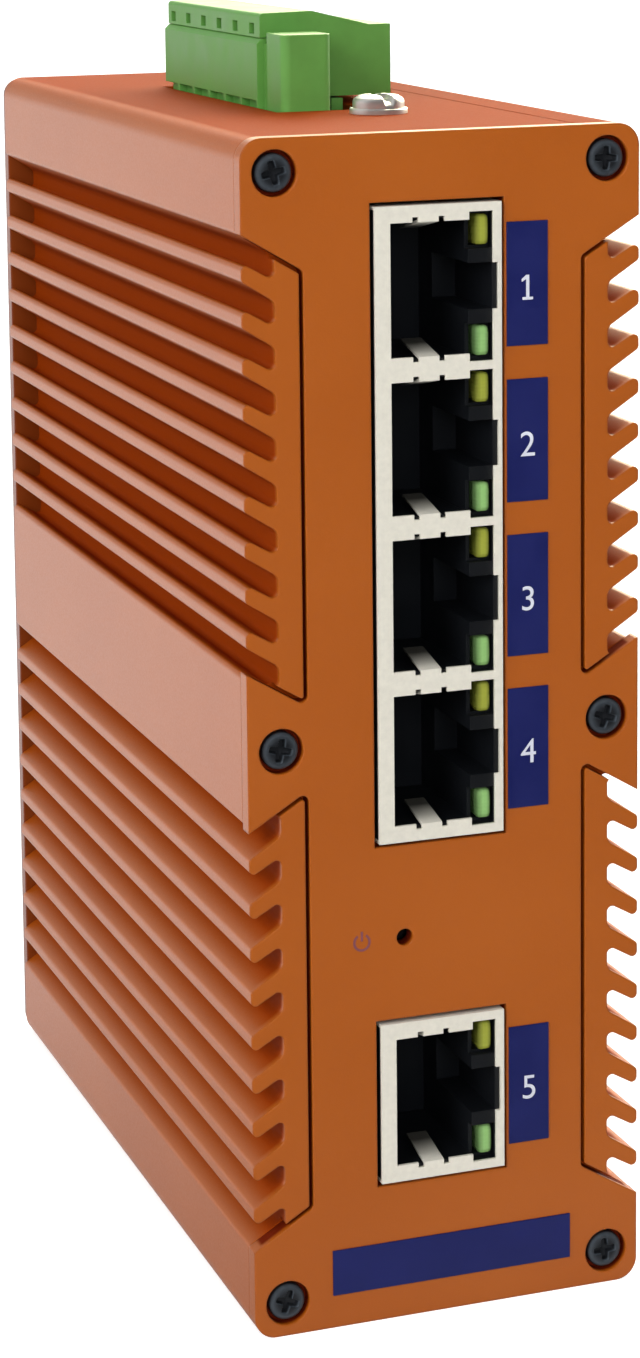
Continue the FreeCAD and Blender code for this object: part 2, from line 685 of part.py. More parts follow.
def ground_tab(z, side):
    """A strip bent in from the opening's edge, which touches a plug's shield."""
    edge = z + side * PORT_HALF
    rise = side * TAB_THICKNESS
    corners = [
        (JACK_FACE, edge + rise, 0),
        (JACK_FACE, edge, 0),
        (JACK_FACE + TAB_LENGTH, edge - side * TAB_DROP, 0),
        (JACK_FACE + TAB_LENGTH, edge - side * TAB_DROP + rise, 0),
        (JACK_FACE + SHELL_THICKNESS, edge + rise, 0),
    ]
    x0 = BOARD_FACE + TAB_FIRST
    return prism_x(corners, x0, x0 + TAB_WIDTH)


def make_jack_shell(ports):
    """Folded shield of a jack, open on the board side."""
    z0, z1 = ports[-1] - JACK_END, ports[0] + JACK_END
    y1 = JACK_FACE + JACK_DEPTH
    wall = SHELL_THICKNESS
    shape = box(BOARD_FACE, BOARD_FACE + JACK_HEIGHT, JACK_FACE, y1, z0, z1)
    shape = shape.cut(box(
        BOARD_FACE - PAST, BOARD_FACE + JACK_HEIGHT - wall, JACK_FACE + wall, y1 - wall,
        z0 + wall, z1 - wall))
    for z in ports:
        shape = shape.cut(port_opening(z))
    tabs = [ground_tab(z, side) for z in ports for side in (-1, 1)]
    return fuse_all([shape] + tabs)


def lamp_block(z, side, grow, y0, y1):
    """A light bar's block beside a port, grown by a clearance."""
    near = LAMP_INNER - grow
    far = LAMP_INNER + LAMP_WIDTH + grow
    z0, z1 = sorted((z + side * near, z + side * far))
    x0 = BOARD_FACE + LAMP_NEAR
    return box(x0 - grow, x0 + LAMP_HEIGHT + grow, y0, y1, z0, z1)


def make_jack_body(ports):
    """Black moulding inside the shield, with a socket, latch room and lamp wells per port."""
    fit = SHELL_THICKNESS + SHELL_FIT
    z0, z1 = ports[-1] - JACK_END + fit, ports[0] + JACK_END - fit
    y0, y1 = JACK_FACE + fit, JACK_FACE + JACK_DEPTH - fit
    shape = box(BOARD_FACE, BOARD_FACE + JACK_HEIGHT - fit, y0, y1, z0, z1)
    socket = PORT_HALF + CAVITY_SIDE_ROOM
    window_back = JACK_FACE + LAMP_WINDOW_DEPTH
    well_back = JACK_FACE + LAMP_RECESS + LAMP_LENGTH + LAMP_FIT
    for z in ports:
        x = BOARD_FACE
        front = JACK_FACE - PAST
        cuts = [
            box(x + PORT_FLOOR, x + PORT_SHOULDER, front, JACK_FACE + CAVITY_DEPTH, z - socket, z + socket),
            box(x + PORT_SHOULDER - PAST, x + PORT_CEILING, front, JACK_FACE + LATCH_ROOM_DEPTH,
                z - LATCH_HALF, z + LATCH_HALF),
        ]
        for side in (-1, 1):
            w0, w1 = sorted((z + side * LAMP_WINDOW_INNER, z + side * LAMP_WINDOW_HALF))
            cuts.append(box(x + PORT_SHOULDER, x + PORT_CEILING, front, window_back, w0, w1))
            cuts.append(lamp_block(z, side, LAMP_FIT, front, well_back))
        for cut in cuts:
            shape = shape.cut(cut)
    return shape


def contact_wire(z):
    """One spring contact: a foot on the socket's floor that turns back and rises."""
    floor = BOARD_FACE + PORT_FLOOR
    thick = CONTACT_THICKNESS
    back = JACK_FACE + CAVITY_DEPTH
    bend = JACK_FACE + CONTACT_FRONT
    tip = JACK_FACE + CONTACT_TIP_DEPTH
    lean = thick * (tip - bend) / CONTACT_RISE
    corners = [
        (floor, back, 0),
        (floor, bend, 0),
        (floor + thick, bend, 0),
        (floor + CONTACT_RISE, tip, 0),
        (floor + CONTACT_RISE - thick, tip + thick / 2, 0),
        (floor + thick, bend + thick + lean, 0),
        (floor + thick, back, 0),
    ]
    return prism_z(corners, z - CONTACT_WIDTH / 2, z + CONTACT_WIDTH / 2)


def make_contacts(ports):
    """The spring contacts of each port."""
    middle = (CONTACTS_PER_PORT - 1) / 2
    return [
        contact_wire(z + (i - middle) * CONTACT_PITCH)
        for z in ports
        for i in range(CONTACTS_PER_PORT)
    ]


def make_port_lamps(side):
    """Light bars on one side of every port."""
    y0 = JACK_FACE + LAMP_RECESS
    return [lamp_block(z, side, 0, y0, y0 + LAMP_LENGTH) for z in ALL_PORT_Z]


def power_lead_y():
    """Depth at which the power lamp's leads turn to the board."""
    return FRONT_SEAT + POWER_LAMP_GAP + POWER_LAMP_LENGTH + LEAD_RUN


def make_power_lamp():
    """Small domed lamp behind the front plate, on two bent leads."""
    x = LEFT + POWER_INSET
    radius = POWER_LAMP_D / 2
    tip = FRONT_SEAT + POWER_LAMP_GAP
    dome = Part.makeSphere(radius, Vector(x, tip + radius, POWER_Z))
    barrel = cylinder((x, tip + radius, POWER_Z), (0, 1, 0), POWER_LAMP_D, POWER_LAMP_LENGTH - radius)
    pieces = [dome, barrel]
    half = LEAD_SIZE / 2
    turn = power_lead_y()
    board_back = BOARD_FACE - BOARD_THICKNESS
    for z in (POWER_Z - LEAD_SPACING / 2, POWER_Z + LEAD_SPACING / 2):
        side = 1 if z > POWER_Z else -1
        out = POWER_Z + side * LEAD_SPACING
        z0, z1 = sorted((z - side * half, out + side * half))
        pieces.append(box(
            x - half, x + half, tip + POWER_LAMP_LENGTH - PAST, turn + half, z - half, z + half))
        pieces.append(box(x - half, x + half, turn - half, turn + half, z0, z1))
        pieces.append(box(
            board_back - LEAD_SIZE, x + half, turn - half, turn + half, out - half, out + half))
    return fuse_all(pieces)


# ---------------------------------------------------------------- power terminal
def pin_height():
    """Height at which the header's pins leave for the board."""
    return HEADER_BASE + PIN_RISE


def make_terminal_pins():
    """Square pins bent from the board up into the header."""
    half = PIN_SIZE / 2
    x = BOARD_FACE + PIN_AXIS
    z = pin_height()
    pins = []
    for y in POLE_Y:
        tail = box(
            BOARD_FACE - BOARD_THICKNESS - PIN_TAIL, x + half, y - half, y + half, z - half, z + half)
        upright = box(x - half, x + half, y - half, y + half, z - half, HEADER_RIM - PIN_TIP_BELOW_RIM)
        pins.append(fuse_all([tail, upright]))
    return pins


def make_terminal_header(pins):
    """Green pin header that lies on the board and stands out of the case's top."""
    x0, x1 = BOARD_FACE, BOARD_FACE + HEADER_HEIGHT
    bevel = HEADER_RIM_CHAMFER
    outline = [
        (x0, HEADER_BASE, 0),
        (x1, HEADER_BASE, 0),
        (x1, HEIGHT + HEADER_LOW_RIM, 0),
        (x1 - HEADER_WALL, HEIGHT + HEADER_LOW_RIM, 0),
        (x1 - HEADER_WALL, HEADER_BASE + HEADER_FLOOR, 0),
        (x0 + HEADER_WALL, HEADER_BASE + HEADER_FLOOR, 0),
        (x0 + HEADER_WALL, HEADER_RIM, 0),
        (x0 + bevel, HEADER_RIM, 0),
        (x0, HEADER_RIM - bevel, 0),
    ]
    body = prism_y(outline, HEADER_Y0, HEADER_Y1)
    neck = box(
        x0 + NECK_INSET, x0 + NECK_INSET + NECK_WIDTH, HEADER_Y0 - NECK_LENGTH - PAST, HEADER_Y0,
        HEADER_BASE, HEADER_RIM - bevel)
    boss_y = HEADER_Y0 - NECK_LENGTH
    boss_x = x0 + BOSS_INSET
    boss_outline = rectangle(boss_x, boss_x + BOSS_WIDTH, boss_y - BOSS_LENGTH, boss_y, BOSS_RADIUS)
    boss = prism_z(boss_outline, HEADER_BASE, HEADER_RIM + BOSS_RISE)
    shape = fuse_all([body, neck, boss])
    for y in POLE_Y:
        shape = shape.cut(box(
            x0 - PAST, x0 + FOOT_DEPTH, y - FOOT_WIDTH / 2, y + FOOT_WIDTH / 2,
            HEIGHT - PAST, HEIGHT + FOOT_HEIGHT))
    for pin in pins:
        shape = shape.cut(pin)
    return shape


def plug_profile():
    """Upper part of the plug in X and Z, above the header's rim."""
    base = HEADER_RIM + PLUG_SEAT
    top = HEADER_RIM + PLUG_RISE
    far = BOARD_FACE + PLUG_OVERHANG
    return [
        (BOARD_FACE + PLUG_SET_BACK, base, 0),
        (far, base, 0),
        (far, top - SHOULDER_DROP, PLUG_RADIUS),
        (BOARD_FACE + SHOULDER_OFFSET, top - SHOULDER_DROP, PLUG_RADIUS),
        (BOARD_FACE + CROWN_OFFSET, top + CROWN_RISE, 2 * PLUG_RADIUS),
        (BOARD_FACE + PLUG_SET_BACK, top, PLUG_RADIUS),
    ]


def wire_entry_z():
    """Lowest Z of the wire entries."""
    return HEIGHT + PLUG_LIFT + WIRE_ENTRY_LIFT


def clamp_axis():
    """X of the clamp screws."""
    return BOARD_FACE + CAGE_NEAR + CAGE_LENGTH / 2


def cage_block(y, grow):
    """Outside of one clamp cage, grown by a clearance."""
    x0 = BOARD_FACE + CAGE_NEAR
    half = CAGE_WIDTH / 2
    z0 = wire_entry_z()
    return box(
        x0 - grow, x0 + CAGE_LENGTH + grow, y - half - grow, y + half + grow,
        z0 - grow, z0 + WIRE_ENTRY_HEIGHT + grow)


def make_terminal_plug():
    """Green plug: nose in the header, overhang with wire entries, screw wells on top."""
    y0, y1 = HEADER_Y0 + PLUG_FIT, HEADER_Y1 - PLUG_FIT
    nose_x1 = BOARD_FACE + HEADER_HEIGHT - HEADER_WALL - PLUG_FIT
    top = HEADER_RIM + PLUG_SEAT + PAST
    nose = box(
        BOARD_FACE + HEADER_WALL + PLUG_FIT, nose_x1, y0, y1,
        HEADER_BASE + HEADER_FLOOR + PLUG_FIT, top)
    overhang = box(nose_x1 - PAST, BOARD_FACE + PLUG_OVERHANG, y0, y1, HEIGHT + PLUG_LIFT, top)
    upper = prism_y(plug_profile(), y0, y1)
    shape = fuse_all([nose, overhang, upper])
    half_pin = PIN_SIZE / 2 + PLUG_FIT
    pin_x = BOARD_FACE + PIN_AXIS
    entry_half = WIRE_ENTRY_WIDTH / 2
    wire_half = CAGE_WIDTH / 2 - CAGE_WALL
    entry_z = wire_entry_z()
    far = BOARD_FACE + PLUG_OVERHANG
    for y in POLE_Y:
        cuts = [
            box(pin_x - half_pin, pin_x + half_pin, y - half_pin, y + half_pin,
                HEADER_BASE, HEADER_RIM - PIN_TIP_BELOW_RIM + PLUG_FIT),
            cage_block(y, CAGE_FIT),
            box(BOARD_FACE + CAGE_NEAR, far + PAST, y - wire_half, y + wire_half,
                entry_z + CAGE_WALL, entry_z + WIRE_ENTRY_HEIGHT - CAGE_WALL),
            box(far - WIRE_FUNNEL, far + PAST, y - entry_half, y + entry_half,
                entry_z, entry_z + WIRE_ENTRY_HEIGHT),
            cylinder((clamp_axis(), y, entry_z + WIRE_ENTRY_HEIGHT), (0, 0, 1), CLAMP_WELL_D, HEADER_ABOVE),
        ]
        for cut in cuts:
            shape = shape.cut(cut)
    for y in POLE_Y:
        z0 = HEADER_RIM + SLOT_LIFT
        shape = shape.cut(box(
            BOARD_FACE - PAST, BOARD_FACE + PLUG_SET_BACK + SLOT_DEPTH,
            y - SLOT_WIDTH / 2, y + SLOT_WIDTH / 2, z0, z0 + SLOT_HEIGHT))
    return shape


def make_terminal_clamps():
    """Steel cages that grip the wires."""
    cages = []
    for y in POLE_Y:
        z0 = wire_entry_z()
        half = CAGE_WIDTH / 2 - CAGE_WALL
        x0 = BOARD_FACE + CAGE_NEAR
        hollow = box(
            x0 - PAST, x0 + CAGE_LENGTH + PAST, y - half, y + half,
            z0 + CAGE_WALL, z0 + WIRE_ENTRY_HEIGHT - CAGE_WALL)
        hole = cylinder(
            (clamp_axis(), y, z0 + WIRE_ENTRY_HEIGHT - CAGE_WALL - PAST), (0, 0, 1),
            CLAMP_SCREW_D + SHANK_CLEARANCE, CAGE_WALL + 2 * PAST)
        cages.append(cage_block(y, 0).cut(hollow).cut(hole))
    return cages


def make_terminal_screws():
    """Slotted clamp screws in the plug's wells."""
    screws = []
    head_z = wire_entry_z() + WIRE_ENTRY_HEIGHT + CLAMP_HEAD_LIFT
    tip_z = wire_entry_z() + WIRE_ENTRY_HEIGHT - CAGE_WALL - CLAMP_HEAD_LIFT
    for y in POLE_Y:
        x = clamp_axis()
        head = cylinder((x, y, head_z), (0, 0, 1), CLAMP_HEAD_D, CLAMP_HEAD_H)
        shank = cylinder((x, y, tip_z), (0, 0, 1), CLAMP_SCREW_D, head_z - tip_z + CLAMP_HEAD_H / 2)
        slot = box(
            x - CLAMP_SLOT / 2, x + CLAMP_SLOT / 2, y - CLAMP_HEAD_D, y + CLAMP_HEAD_D,
            head_z + CLAMP_HEAD_H - CLAMP_SLOT_DEPTH, head_z + CLAMP_HEAD_H + PAST)
        screws.append(fuse_all([head, shank]).cut(slot))
    return screws


# ---------------------------------------------------------------- ground screw
def make_ground_washer():
    """Plain washer on the case's top."""
    centre = (LEFT + GROUND_INSET, FRONT + GROUND_FRONT, HEIGHT)
    ring = cylinder(centre, (0, 0, 1), GROUND_WASHER_D, GROUND_WASHER_H)
    return ring.cut(cylinder(centre, (0, 0, 1), GROUND_SHANK_D + SHANK_CLEARANCE, GROUND_WASHER_H))


def make_ground_screw():
    """Low domed screw with a slot, tapped into the case's top."""
    x, y = LEFT + GROUND_INSET, FRONT + GROUND_FRONT
    z = HEIGHT + GROUND_WASHER_H
    head = cylinder((x, y, z), (0, 0, 1), GROUND_HEAD_D, GROUND_HEAD_H)
    middle = GROUND_HEAD_H / 2
    rim = [edge for edge in head.Edges if edge.BoundBox.ZMin > z + middle]
    head = head.makeFillet(middle, rim)
    tip = (x, y, z - GROUND_LENGTH)
    shank = cylinder(tip, (0, 0, 1), GROUND_SHANK_D, GROUND_LENGTH + middle)
    half = GROUND_SLOT / 2
    top = z + GROUND_HEAD_H
    slot = box(
        x - half, x + half, y - GROUND_HEAD_D, y + GROUND_HEAD_D, top - GROUND_SLOT_DEPTH, top + PAST)
    return fuse_all([head, shank]).cut(slot)


# ---------------------------------------------------------------- rail clip
SEAT_Y = REAR + CLIP_THICKNESS              # face that the rail lies against
RAIL_TOP = MIDDLE_Z + RAIL_WIDTH / 2
RAIL_BOTTOM = MIDDLE_Z - RAIL_WIDTH / 2
CLIP_TOP = RAIL_TOP + CLIP_ABOVE
CLIP_BOTTOM = RAIL_BOTTOM - CLIP_BELOW
LATCH_TOP = RAIL_BOTTOM + LATCH_TOP_ABOVE
LATCH_BACK = REAR + LATCH_SEAT + LATCH_GAP
LATCH_STEP = LATCH_BACK + LATCH_FLANGE_THICKNESS
SPRING_Y = REAR + CLIP_THICKNESS / 2
SPRING_TOP = LATCH_TOP - 4.0
SPRING_BASE = SPRING_TOP - SPRING_LENGTH
LIP_Y = SEAT_Y + RAIL_LIP + RAIL_LIP_ROOM   # inner side of the hook's and the catch's lips


def make_din_clip():
    """Base with a fixed upper hook and a T-shaped way for the latch."""
    half = CLIP_WIDTH / 2
    hook_z = RAIL_TOP + RAIL_EDGE_GAP
    reach = SEAT_Y + HOOK_REACH
    profile = [
        (REAR, CLIP_BOTTOM, 0),
        (SEAT_Y, CLIP_BOTTOM, 0.8),
        (SEAT_Y, hook_z, 0),
        (LIP_Y, hook_z, 0),
        (LIP_Y, RAIL_TOP - HOOK_LAP, 0.3),
        (reach, RAIL_TOP - HOOK_LAP, 0.8),
        (reach, hook_z + HOOK_BLOCK, 1.5),
        (SEAT_Y, CLIP_TOP, 0.8),
        (REAR, CLIP_TOP, 0),
    ]
    shape = prism_x(profile, -half, half)
    wide = LATCH_WIDTH / 2 + LATCH_GAP
    narrow = LATCH_FACE_WIDTH / 2 + LATCH_GAP
    way_top = LATCH_TOP + LATCH_GAP
    shape = shape.cut(box(
        -wide, wide, LATCH_BACK - LATCH_GAP, LATCH_STEP + LATCH_GAP, CLIP_BOTTOM - PAST, way_top))
    shape = shape.cut(box(-narrow, narrow, LATCH_BACK, SEAT_Y + PAST, CLIP_BOTTOM - PAST, way_top))
    pocket = SPRING_D / 2 + SPRING_POCKET
    shape = shape.cut(box(
        -pocket, pocket, SPRING_Y - pocket, LATCH_BACK,
        SPRING_BASE - PEG_HEIGHT, SPRING_TOP + SPRING_POCKET))
    peg = box(
        -PEG_WIDTH / 2, PEG_WIDTH / 2, REAR + LATCH_SEAT / 2, SPRING_Y + SPRING_D / 2,
        SPRING_BASE - PEG_HEIGHT, SPRING_BASE)
    shape = fuse_all([shape, peg])
    for x, z in clip_screw_places():
        hole_d = CLIP_SCREW_D + SHANK_CLEARANCE
        shape = shape.cut(cylinder((x, REAR - PAST, z), (0, 1, 0), hole_d, CLIP_THICKNESS + 2 * PAST))
        mouth = CLIP_SCREW_HEAD_D + SHANK_CLEARANCE
        shape = shape.cut(cone((x, SEAT_Y - CLIP_SCREW_CONE, z), (0, 1, 0), hole_d, mouth, CLIP_SCREW_CONE))
    return shape


def make_din_latch():
    """Sliding latch: flanged slider, sprung window, catch and pull end."""
    flange = LATCH_WIDTH / 2
    face = LATCH_FACE_WIDTH / 2
    seat = SEAT_Y - LATCH_GAP
    low = CLIP_BOTTOM - LATCH_TAIL
    catch_top = RAIL_BOTTOM - RAIL_EDGE_GAP
    lip_top = RAIL_BOTTOM + HOOK_LAP
    reach = SEAT_Y + HOOK_REACH
    slider = box(-flange, flange, LATCH_BACK, LATCH_STEP, low, LATCH_TOP)
    raised = box(-face, face, LATCH_STEP - PAST / 2, seat, low, LATCH_TOP)
    catch = prism_x([
        (seat - PAST, catch_top - CATCH_BLOCK, 0),
        (reach - CATCH_CHAMFER, catch_top - CATCH_BLOCK, 0),
        (reach, catch_top - CATCH_BLOCK + CATCH_CHAMFER, 0),
        (reach, lip_top - CATCH_CHAMFER, 0),
        (LIP_Y + 0.4, lip_top, 0),
        (LIP_Y, lip_top, 0),
        (LIP_Y, catch_top, 0),
        (seat - PAST, catch_top, 0),
    ], -face, face)
    shape = fuse_all([slider, raised, catch])
    window = SPRING_D / 2 + SPRING_POCKET / 2
    shape = shape.cut(box(
        -window, window, LATCH_BACK - PAST, seat, SPRING_BASE - PEG_HEIGHT - SPRING_POCKET, SPRING_TOP))
    slot_z = low + TAIL_SLOT_MARGIN
    shape = shape.cut(box(
        -TAIL_SLOT_WIDTH / 2, TAIL_SLOT_WIDTH / 2, LATCH_BACK - PAST, seat + PAST,
        slot_z, slot_z + TAIL_SLOT_HEIGHT))
    return shape


def make_din_spring():
    """Coil between the base's peg and the top of the latch's window."""
    radius = (SPRING_D - SPRING_WIRE) / 2
    height = SPRING_LENGTH - SPRING_WIRE
    helix = Part.makeHelix(height / SPRING_TURNS, height, radius)
    circle = Part.Circle(Vector(radius, 0, 0), Vector(0, 1, 0), SPRING_WIRE / 2)
    profile = Part.Wire([circle.toShape()])
    coil = Part.Wire(helix.Edges).makePipeShell([profile], True, True)
    coil.translate(Vector(0, SPRING_Y, SPRING_BASE + SPRING_WIRE / 2))
    return coil


def make_din_screws():
    """Four countersunk screws through the clip into the rear cover."""
    screws = []
    neck_y = SEAT_Y - CLIP_SCREW_CONE
    tip_y = SEAT_Y - CLIP_SCREW_LENGTH
    for x, z in clip_screw_places():
        head = cone((x, neck_y, z), (0, 1, 0), CLIP_SCREW_D, CLIP_SCREW_HEAD_D, CLIP_SCREW_CONE)
        shank = cylinder((x, tip_y, z), (0, 1, 0), CLIP_SCREW_D, neck_y - tip_y)
        screws.append(fuse_all([head, shank]).cut(cross_recess(x, SEAT_Y, z, -1)))
    return screws


# ---------------------------------------------------------------- write the parts
os.makedirs("parts", exist_ok=True)
save("main_channel", [make_main_channel()])
save("side_panel", [make_side_panel()])
save("front_plate", [make_front_plate()])
save("rear_cover", [make_rear_cover()])
save("front_screws", make_case_screws(FRONT_SEAT - SCREW_WEB, 1))
save("rear_screws", make_case_screws(REAR_SEAT + SCREW_WEB, -1))
save("port_labels", make_port_labels())
save("name_plate", [make_name_plate()])
save("main_board", [make_main_board()])
save("switch_chip", [make_switch_chip()])
save("power_inductor", [make_power_inductor()])
save("capacitors", make_capacitors())
save("crystal", [make_crystal()])
save("jack_block_shell", [make_jack_shell(BLOCK_PORT_Z)])
save("jack_block_body", [make_jack_body(BLOCK_PORT_Z)])
save("jack_block_contacts", make_contacts(BLOCK_PORT_Z))
save("jack_single_shell", [make_jack_shell([SINGLE_CENTRE_Z])])
save("jack_single_body", [make_jack_body([SINGLE_CENTRE_Z])])
save("jack_single_contacts", make_contacts([SINGLE_CENTRE_Z]))
save("yellow_lamps", make_port_lamps(1))
save("green_lamps", make_port_lamps(-1))
save("power_lamp", [make_power_lamp()])
terminal_pins = make_terminal_pins()
save("terminal_pins", terminal_pins)
save("terminal_header", [make_terminal_header(terminal_pins)])
save("terminal_plug", [make_terminal_plug()])
save("terminal_clamps", make_terminal_clamps())
save("terminal_screws", make_terminal_screws())
save("ground_washer", [make_ground_washer()])
save("ground_screw", [make_ground_screw()])
save("din_clip", [make_din_clip()])
save("din_latch", [make_din_latch()])
save("din_spring", [make_din_spring()])
save("din_screws", make_din_screws())
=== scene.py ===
# %% [markdown]
# # A finned network switch for a rail
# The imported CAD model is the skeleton: every plate, fin and socket is already where it belongs.
# This lesson dresses it. Each step says what a piece or a finish is on the real object, how it could
# be made, and why one way was chosen.

import json
import math

import bpy
import numpy as np
from mathutils import Matrix, Vector


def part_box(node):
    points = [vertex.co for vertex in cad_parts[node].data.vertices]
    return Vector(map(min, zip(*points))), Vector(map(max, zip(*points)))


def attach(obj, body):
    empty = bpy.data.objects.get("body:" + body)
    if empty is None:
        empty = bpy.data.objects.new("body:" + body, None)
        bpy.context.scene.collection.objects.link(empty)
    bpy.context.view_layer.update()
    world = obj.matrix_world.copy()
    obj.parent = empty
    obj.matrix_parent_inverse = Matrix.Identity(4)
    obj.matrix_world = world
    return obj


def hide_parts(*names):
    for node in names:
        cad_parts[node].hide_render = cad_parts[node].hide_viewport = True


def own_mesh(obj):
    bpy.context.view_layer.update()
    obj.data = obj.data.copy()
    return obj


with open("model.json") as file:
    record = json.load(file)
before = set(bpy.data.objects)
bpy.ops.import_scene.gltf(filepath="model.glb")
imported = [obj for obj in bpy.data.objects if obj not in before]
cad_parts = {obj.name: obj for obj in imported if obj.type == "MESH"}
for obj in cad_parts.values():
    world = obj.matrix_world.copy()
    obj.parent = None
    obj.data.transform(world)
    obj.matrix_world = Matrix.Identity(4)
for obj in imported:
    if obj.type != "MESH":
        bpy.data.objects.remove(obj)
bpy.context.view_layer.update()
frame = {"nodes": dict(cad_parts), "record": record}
nodes = frame["nodes"]
MM = 0.001


# %% [markdown]
# ## Places
# Every place is read from the boxes of the CAD nodes, so nothing here has to be fitted by eye.

# %% Boxes of the main pieces
def corners(node):
    """Lowest and highest corner of a CAD node, as two arrays in metres."""
    low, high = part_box(node)
    return np.array(low), np.array(high)


PLATE_LOW, PLATE_HIGH = corners("front_plate")
HEIGHT = PLATE_HIGH[2]
WIDTH = PLATE_HIGH[0] - PLATE_LOW[0]
FRONT = PLATE_LOW[1]
JACK_LOW, JACK_HIGH = corners("jack_block_shell")
SINGLE_LOW, SINGLE_HIGH = corners("jack_single_shell")
BOARD_FACE = JACK_LOW[0]
JACK_FACE = JACK_LOW[1]
JACK_END = 7.4 * MM                     # outermost port's centre to the end of the jack
PORT_PITCH = 13.97 * MM
BLOCK_PORT_Z = JACK_HIGH[2] - JACK_END - PORT_PITCH * np.arange(4)
SINGLE_PORT_Z = np.array([(SINGLE_LOW[2] + SINGLE_HIGH[2]) / 2])
PORT_Z = np.concatenate([BLOCK_PORT_Z, SINGLE_PORT_Z])
print("case:", round(WIDTH / MM, 2), "x", round(HEIGHT / MM, 2), "mm; ports at", np.round(PORT_Z / MM, 2))


# %% [markdown]
# ## Camera
# A narrow, tall case is best seen from a little left of it and a little above, with a long lens, so
# that the upright edges stay nearly upright. The lens is shifted, as on a view camera: the shift frames
# the object while the camera keeps looking almost level.

# %% Place the camera
CAMERA_PLACE = (-0.1039, -0.3032, 0.1320)
CAMERA_YAW = math.radians(19.45)
CAMERA_PITCH = math.radians(7.81)
CAMERA_ROLL = math.radians(-0.61)
CAMERA_LENS = 86.46
CAMERA_SHIFT = -0.285

camera_data = bpy.data.cameras.new("camera")
camera = bpy.data.objects.new("camera", camera_data)
bpy.context.scene.collection.objects.link(camera)
turn = Matrix.Rotation(-CAMERA_YAW, 4, "Z") @ Matrix.Rotation(math.pi / 2 - CAMERA_PITCH, 4, "X")
camera.matrix_world = Matrix.Translation(CAMERA_PLACE) @ turn @ Matrix.Rotation(CAMERA_ROLL, 4, "Z")
camera_data.lens = CAMERA_LENS
camera_data.shift_y = CAMERA_SHIFT
camera_data.clip_start = 0.01
bpy.context.scene.camera = camera
bpy.context.scene.view_settings.view_transform = "Standard"
print("camera at", CAMERA_PLACE)


# %% [markdown]
# ## Materials by nodes
# A material is a small graph. These helpers keep each graph to a few lines: one makes the shader,
# one adds a node and joins its inputs, a few do sums on values, and one turns a grey pattern into a
# bump.

# %% Helpers for node graphs
def new_material(name):
    """An empty material with its main shader; returns the material, its node tree and the shader."""
    material = bpy.data.materials.new(name)
    material.use_nodes = True
    tree = material.node_tree
    return material, tree, tree.nodes["Principled BSDF"]


def add(tree, kind, settings=None, **inputs):
    """Adds a node. Inputs are numbers, tuples or the output sockets of other nodes."""
    node = tree.nodes.new(kind)
    for key, value in (settings or {}).items():
        setattr(node, key, value)
    for key, value in inputs.items():
        socket = node.inputs[int(key[1:])] if key[0] == "i" and key[1:].isdigit() else node.inputs[key]
        if isinstance(value, bpy.types.NodeSocket):
            tree.links.new(value, socket)
        else:
            socket.default_value = value
    return node


def object_point(tree, stretch=(1, 1, 1)):
    """Object coordinates, stretched along the three axes."""
    place = add(tree, "ShaderNodeTexCoord").outputs["Object"]
    return add(tree, "ShaderNodeMapping", i0=place, i3=stretch).outputs[0]


def axis_of(tree, point, axis):
    """One coordinate of a point: axis is X, Y or Z."""
    return add(tree, "ShaderNodeSeparateXYZ", Vector=point).outputs[axis]


def arithmetic(tree, operation, *values):
    """One value worked out from others; the operation is one such as MULTIPLY, SUBTRACT or MAXIMUM."""
    inputs = {"i%d" % i: value for i, value in enumerate(values)}
    return add(tree, "ShaderNodeMath", {"operation": operation}, **inputs).outputs[0]


def distance_from(tree, value, middle):
    """How far a value lies from a middle value, on either side."""
    return arithmetic(tree, "ABSOLUTE", arithmetic(tree, "SUBTRACT", value, middle))


def product(tree, first, second):
    """First times second."""
    return arithmetic(tree, "MULTIPLY", first, second)


def noise(tree, point, scale, detail=2.0, roughness=0.5):
    """A soft random pattern; scale is blots per metre."""
    made = add(tree, "ShaderNodeTexNoise", Vector=point, Scale=scale, Detail=detail, Roughness=roughness)
    return made.outputs[0]


def ramp(tree, value, start, end, low=0.0, high=1.0):
    """Maps a value from start..end to low..high, and holds it at the ends."""
    made = add(tree, "ShaderNodeMapRange", Value=value, i1=start, i2=end, i3=low, i4=high)
    return made.outputs[0]


def blend_colours(tree, factor, first, second):
    """Mixes two colours by a factor."""
    node = add(tree, "ShaderNodeMix", {"data_type": "RGBA"}, i0=factor, i6=first, i7=second)
    return node.outputs[2]


def bump(tree, shader, height, distance, strength=1.0, edge=0.0):
    """Joins a height pattern to the shader's normal; edge rounds sharp corners by that radius."""
    made = add(tree, "ShaderNodeBump", Height=height, Distance=distance, Strength=strength)
    if edge > 0:
        rounded = add(tree, "ShaderNodeBevel", {"samples": 6}, Radius=edge)
        tree.links.new(rounded.outputs[0], made.inputs["Normal"])
    tree.links.new(made.outputs[0], shader.inputs["Normal"])


def dress(node, material):
    """Gives a CAD node one material in all its slots."""
    mesh = nodes[node].data
    if not mesh.materials:
        mesh.materials.append(material)
    for i in range(len(mesh.materials)):
        mesh.materials[i] = material


print("helpers ready")
